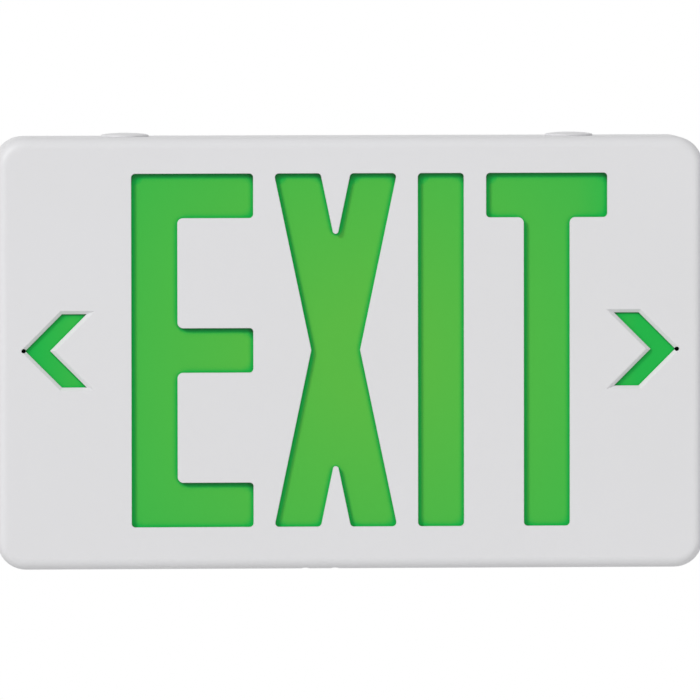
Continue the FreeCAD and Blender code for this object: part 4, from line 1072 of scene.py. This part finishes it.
# Test switch, button and pilot light. The switch is a black push switch, the button a red pin that reaches
# it through the housing's lip, and the pilot light a small red lamp behind a clear pipe.
BUTTON_RED = (0.42, 0.020, 0.016, 1)
BUTTON_RED_SHADE = (0.36, 0.017, 0.014, 1)
PIPE_CLEAR = (0.86, 0.88, 0.88, 1)
LENS_RED = (0.62, 0.04, 0.03, 1)
CLEARNESS = 0.75
HAZE_IN_GLOSS = 0.2

dress("test_switch", moulded("switch_case", CASE_BLACK, CASE_BLACK_SHADE, 0.38, ease=mm(0.2)))
dress("test_button", moulded("button_plastic", BUTTON_RED, BUTTON_RED_SHADE, 0.35, ease=mm(0.2)))


def clear_plastic(name, tint, roughness):
    """A clear moulding with a faint inner haze."""
    material, nodes, links, shader = new_material(name, roughness, tint)
    shader.inputs["Transmission Weight"].default_value = CLEARNESS
    shader.inputs["IOR"].default_value = 1.49
    place = nodes.new("ShaderNodeTexCoord")
    haze = nodes.new("ShaderNodeTexNoise")
    haze.inputs["Scale"].default_value = 600
    spread = nodes.new("ShaderNodeMapRange")
    spread.inputs["To Min"].default_value = roughness
    spread.inputs["To Max"].default_value = roughness + HAZE_IN_GLOSS
    links.new(place.outputs["Object"], haze.inputs["Vector"])
    links.new(haze.outputs["Fac"], spread.inputs["Value"])
    links.new(spread.outputs["Result"], shader.inputs["Roughness"])
    return material


dress("pilot_light_pipe", clear_plastic("pipe_acrylic", PIPE_CLEAR, 0.12))
dress("pilot_lamp", clear_plastic("pilot_lens", LENS_RED, 0.2))


# Studio. A pale floor well below the light, a soft lamp above and to the left, a fill to the right, and
# a white surround that only the camera and reflections see.
FLOOR_GREY = (0.86, 0.86, 0.86, 1)
FLOOR_DROP = 0.30
FLOOR_RADIUS = 1.6
FLOOR_FADE_START = 0.5
FLOOR_FADE_END = 1.44
AMBIENT = 0.45
KEY_PLACE = (-3.5, -3.38, 2.83)
KEY_SIZE = 1.0
KEY_POWER = 151
FILL_PLACE = (1.3, -1.9, -0.25)
FILL_SIZE = 1.0
FILL_POWER = 8.4


def floor_paint():
    """Pale matt paint that fades into the white surround towards the floor's edge."""
    material, nodes, links, shader = new_material("floor_paint", 0.8, FLOOR_GREY)
    place = nodes.new("ShaderNodeTexCoord")
    reach = nodes.new("ShaderNodeVectorMath")
    reach.operation = "LENGTH"
    fade = nodes.new("ShaderNodeMapRange")
    fade.inputs["From Min"].default_value = FLOOR_FADE_START
    fade.inputs["From Max"].default_value = FLOOR_FADE_END
    ray = nodes.new("ShaderNodeLightPath")
    seen = nodes.new("ShaderNodeMath")
    seen.operation = "MAXIMUM"
    masked = nodes.new("ShaderNodeMath")
    masked.operation = "MULTIPLY"
    glow = nodes.new("ShaderNodeEmission")
    mixed = nodes.new("ShaderNodeMixShader")
    links.new(place.outputs["Object"], reach.inputs[0])
    links.new(reach.outputs["Value"], fade.inputs["Value"])
    links.new(ray.outputs["Is Camera Ray"], seen.inputs[0])
    links.new(ray.outputs["Is Glossy Ray"], seen.inputs[1])
    links.new(fade.outputs["Result"], masked.inputs[0])
    links.new(seen.outputs["Value"], masked.inputs[1])
    links.new(masked.outputs["Value"], mixed.inputs["Fac"])
    links.new(shader.outputs["BSDF"], mixed.inputs[1])
    links.new(glow.outputs["Emission"], mixed.inputs[2])
    links.new(mixed.outputs["Shader"], nodes["Material Output"].inputs["Surface"])
    return material


deselect_all()
bpy.ops.mesh.primitive_circle_add(vertices=128, radius=FLOOR_RADIUS, fill_type="NGON",
                                  location=(0, 0, cad_low.z - FLOOR_DROP))
floor = start_piece("floor")
settle(floor)
floor.data.materials.append(floor_paint())
floor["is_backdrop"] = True

world = bpy.data.worlds.new("studio")
bpy.context.scene.world = world
world.use_nodes = True
nodes, links = world.node_tree.nodes, world.node_tree.links
backdrop = nodes["Background"]
backdrop.inputs["Color"].default_value = (1, 1, 1, 1)
backdrop.inputs["Strength"].default_value = 1
ambient = nodes.new("ShaderNodeBackground")
ambient.inputs["Color"].default_value = (1, 1, 1, 1)
ambient.inputs["Strength"].default_value = AMBIENT
ray = nodes.new("ShaderNodeLightPath")
either = nodes.new("ShaderNodeMath")
either.operation = "MAXIMUM"
seen = nodes.new("ShaderNodeMath")
seen.operation = "MAXIMUM"
mixed = nodes.new("ShaderNodeMixShader")
links.new(ray.outputs["Is Camera Ray"], either.inputs[0])
links.new(ray.outputs["Is Glossy Ray"], either.inputs[1])
links.new(either.outputs["Value"], seen.inputs[0])
links.new(ray.outputs["Is Transmission Ray"], seen.inputs[1])
links.new(seen.outputs["Value"], mixed.inputs["Fac"])
links.new(ambient.outputs["Background"], mixed.inputs[1])
links.new(backdrop.outputs["Background"], mixed.inputs[2])
links.new(mixed.outputs["Shader"], nodes["World Output"].inputs["Surface"])


def soft_lamp(name, place, size, power):
    """A square soft box that faces the middle of the light."""
    lamp = bpy.data.lights.new(name, "AREA")
    lamp.shape = "SQUARE"
    lamp.size = size
    lamp.energy = power
    holder = bpy.data.objects.new(name, lamp)
    bpy.context.collection.objects.link(holder)
    holder.location = place
    holder.rotation_euler = (-Vector(place)).to_track_quat("-Z", "Y").to_euler()


soft_lamp("key_lamp", KEY_PLACE, KEY_SIZE, KEY_POWER)
soft_lamp("fill_lamp", FILL_PLACE, FILL_SIZE, FILL_POWER)


# Camera. A long lens from in front, a little to the left of the light and a little above it.
AZIMUTH = math.radians(-3.3)
ELEVATION = math.radians(2.4)
ROLL = -0.0013
DISTANCE = 5.2
SENSOR = 36
LENS = 620.6
SHIFT = (-0.0013, 0.0047)

camera = bpy.data.cameras.new("camera")
camera.sensor_width = SENSOR
camera.lens = LENS
camera.shift_x, camera.shift_y = SHIFT
stand = bpy.data.objects.new("camera", camera)
bpy.context.collection.objects.link(stand)
aim = Vector((0, cad_low.y, 0))
away = Vector((math.sin(AZIMUTH) * math.cos(ELEVATION), -math.cos(AZIMUTH) * math.cos(ELEVATION),
               math.sin(ELEVATION)))
turn = (-away).to_track_quat("-Z", "Y").to_matrix().to_4x4() @ Matrix.Rotation(ROLL, 4, "Z")
stand.matrix_world = Matrix.Translation(aim + away * DISTANCE) @ turn
bpy.context.scene.camera = stand
bpy.context.scene.view_settings.view_transform = "Standard"

low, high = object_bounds()
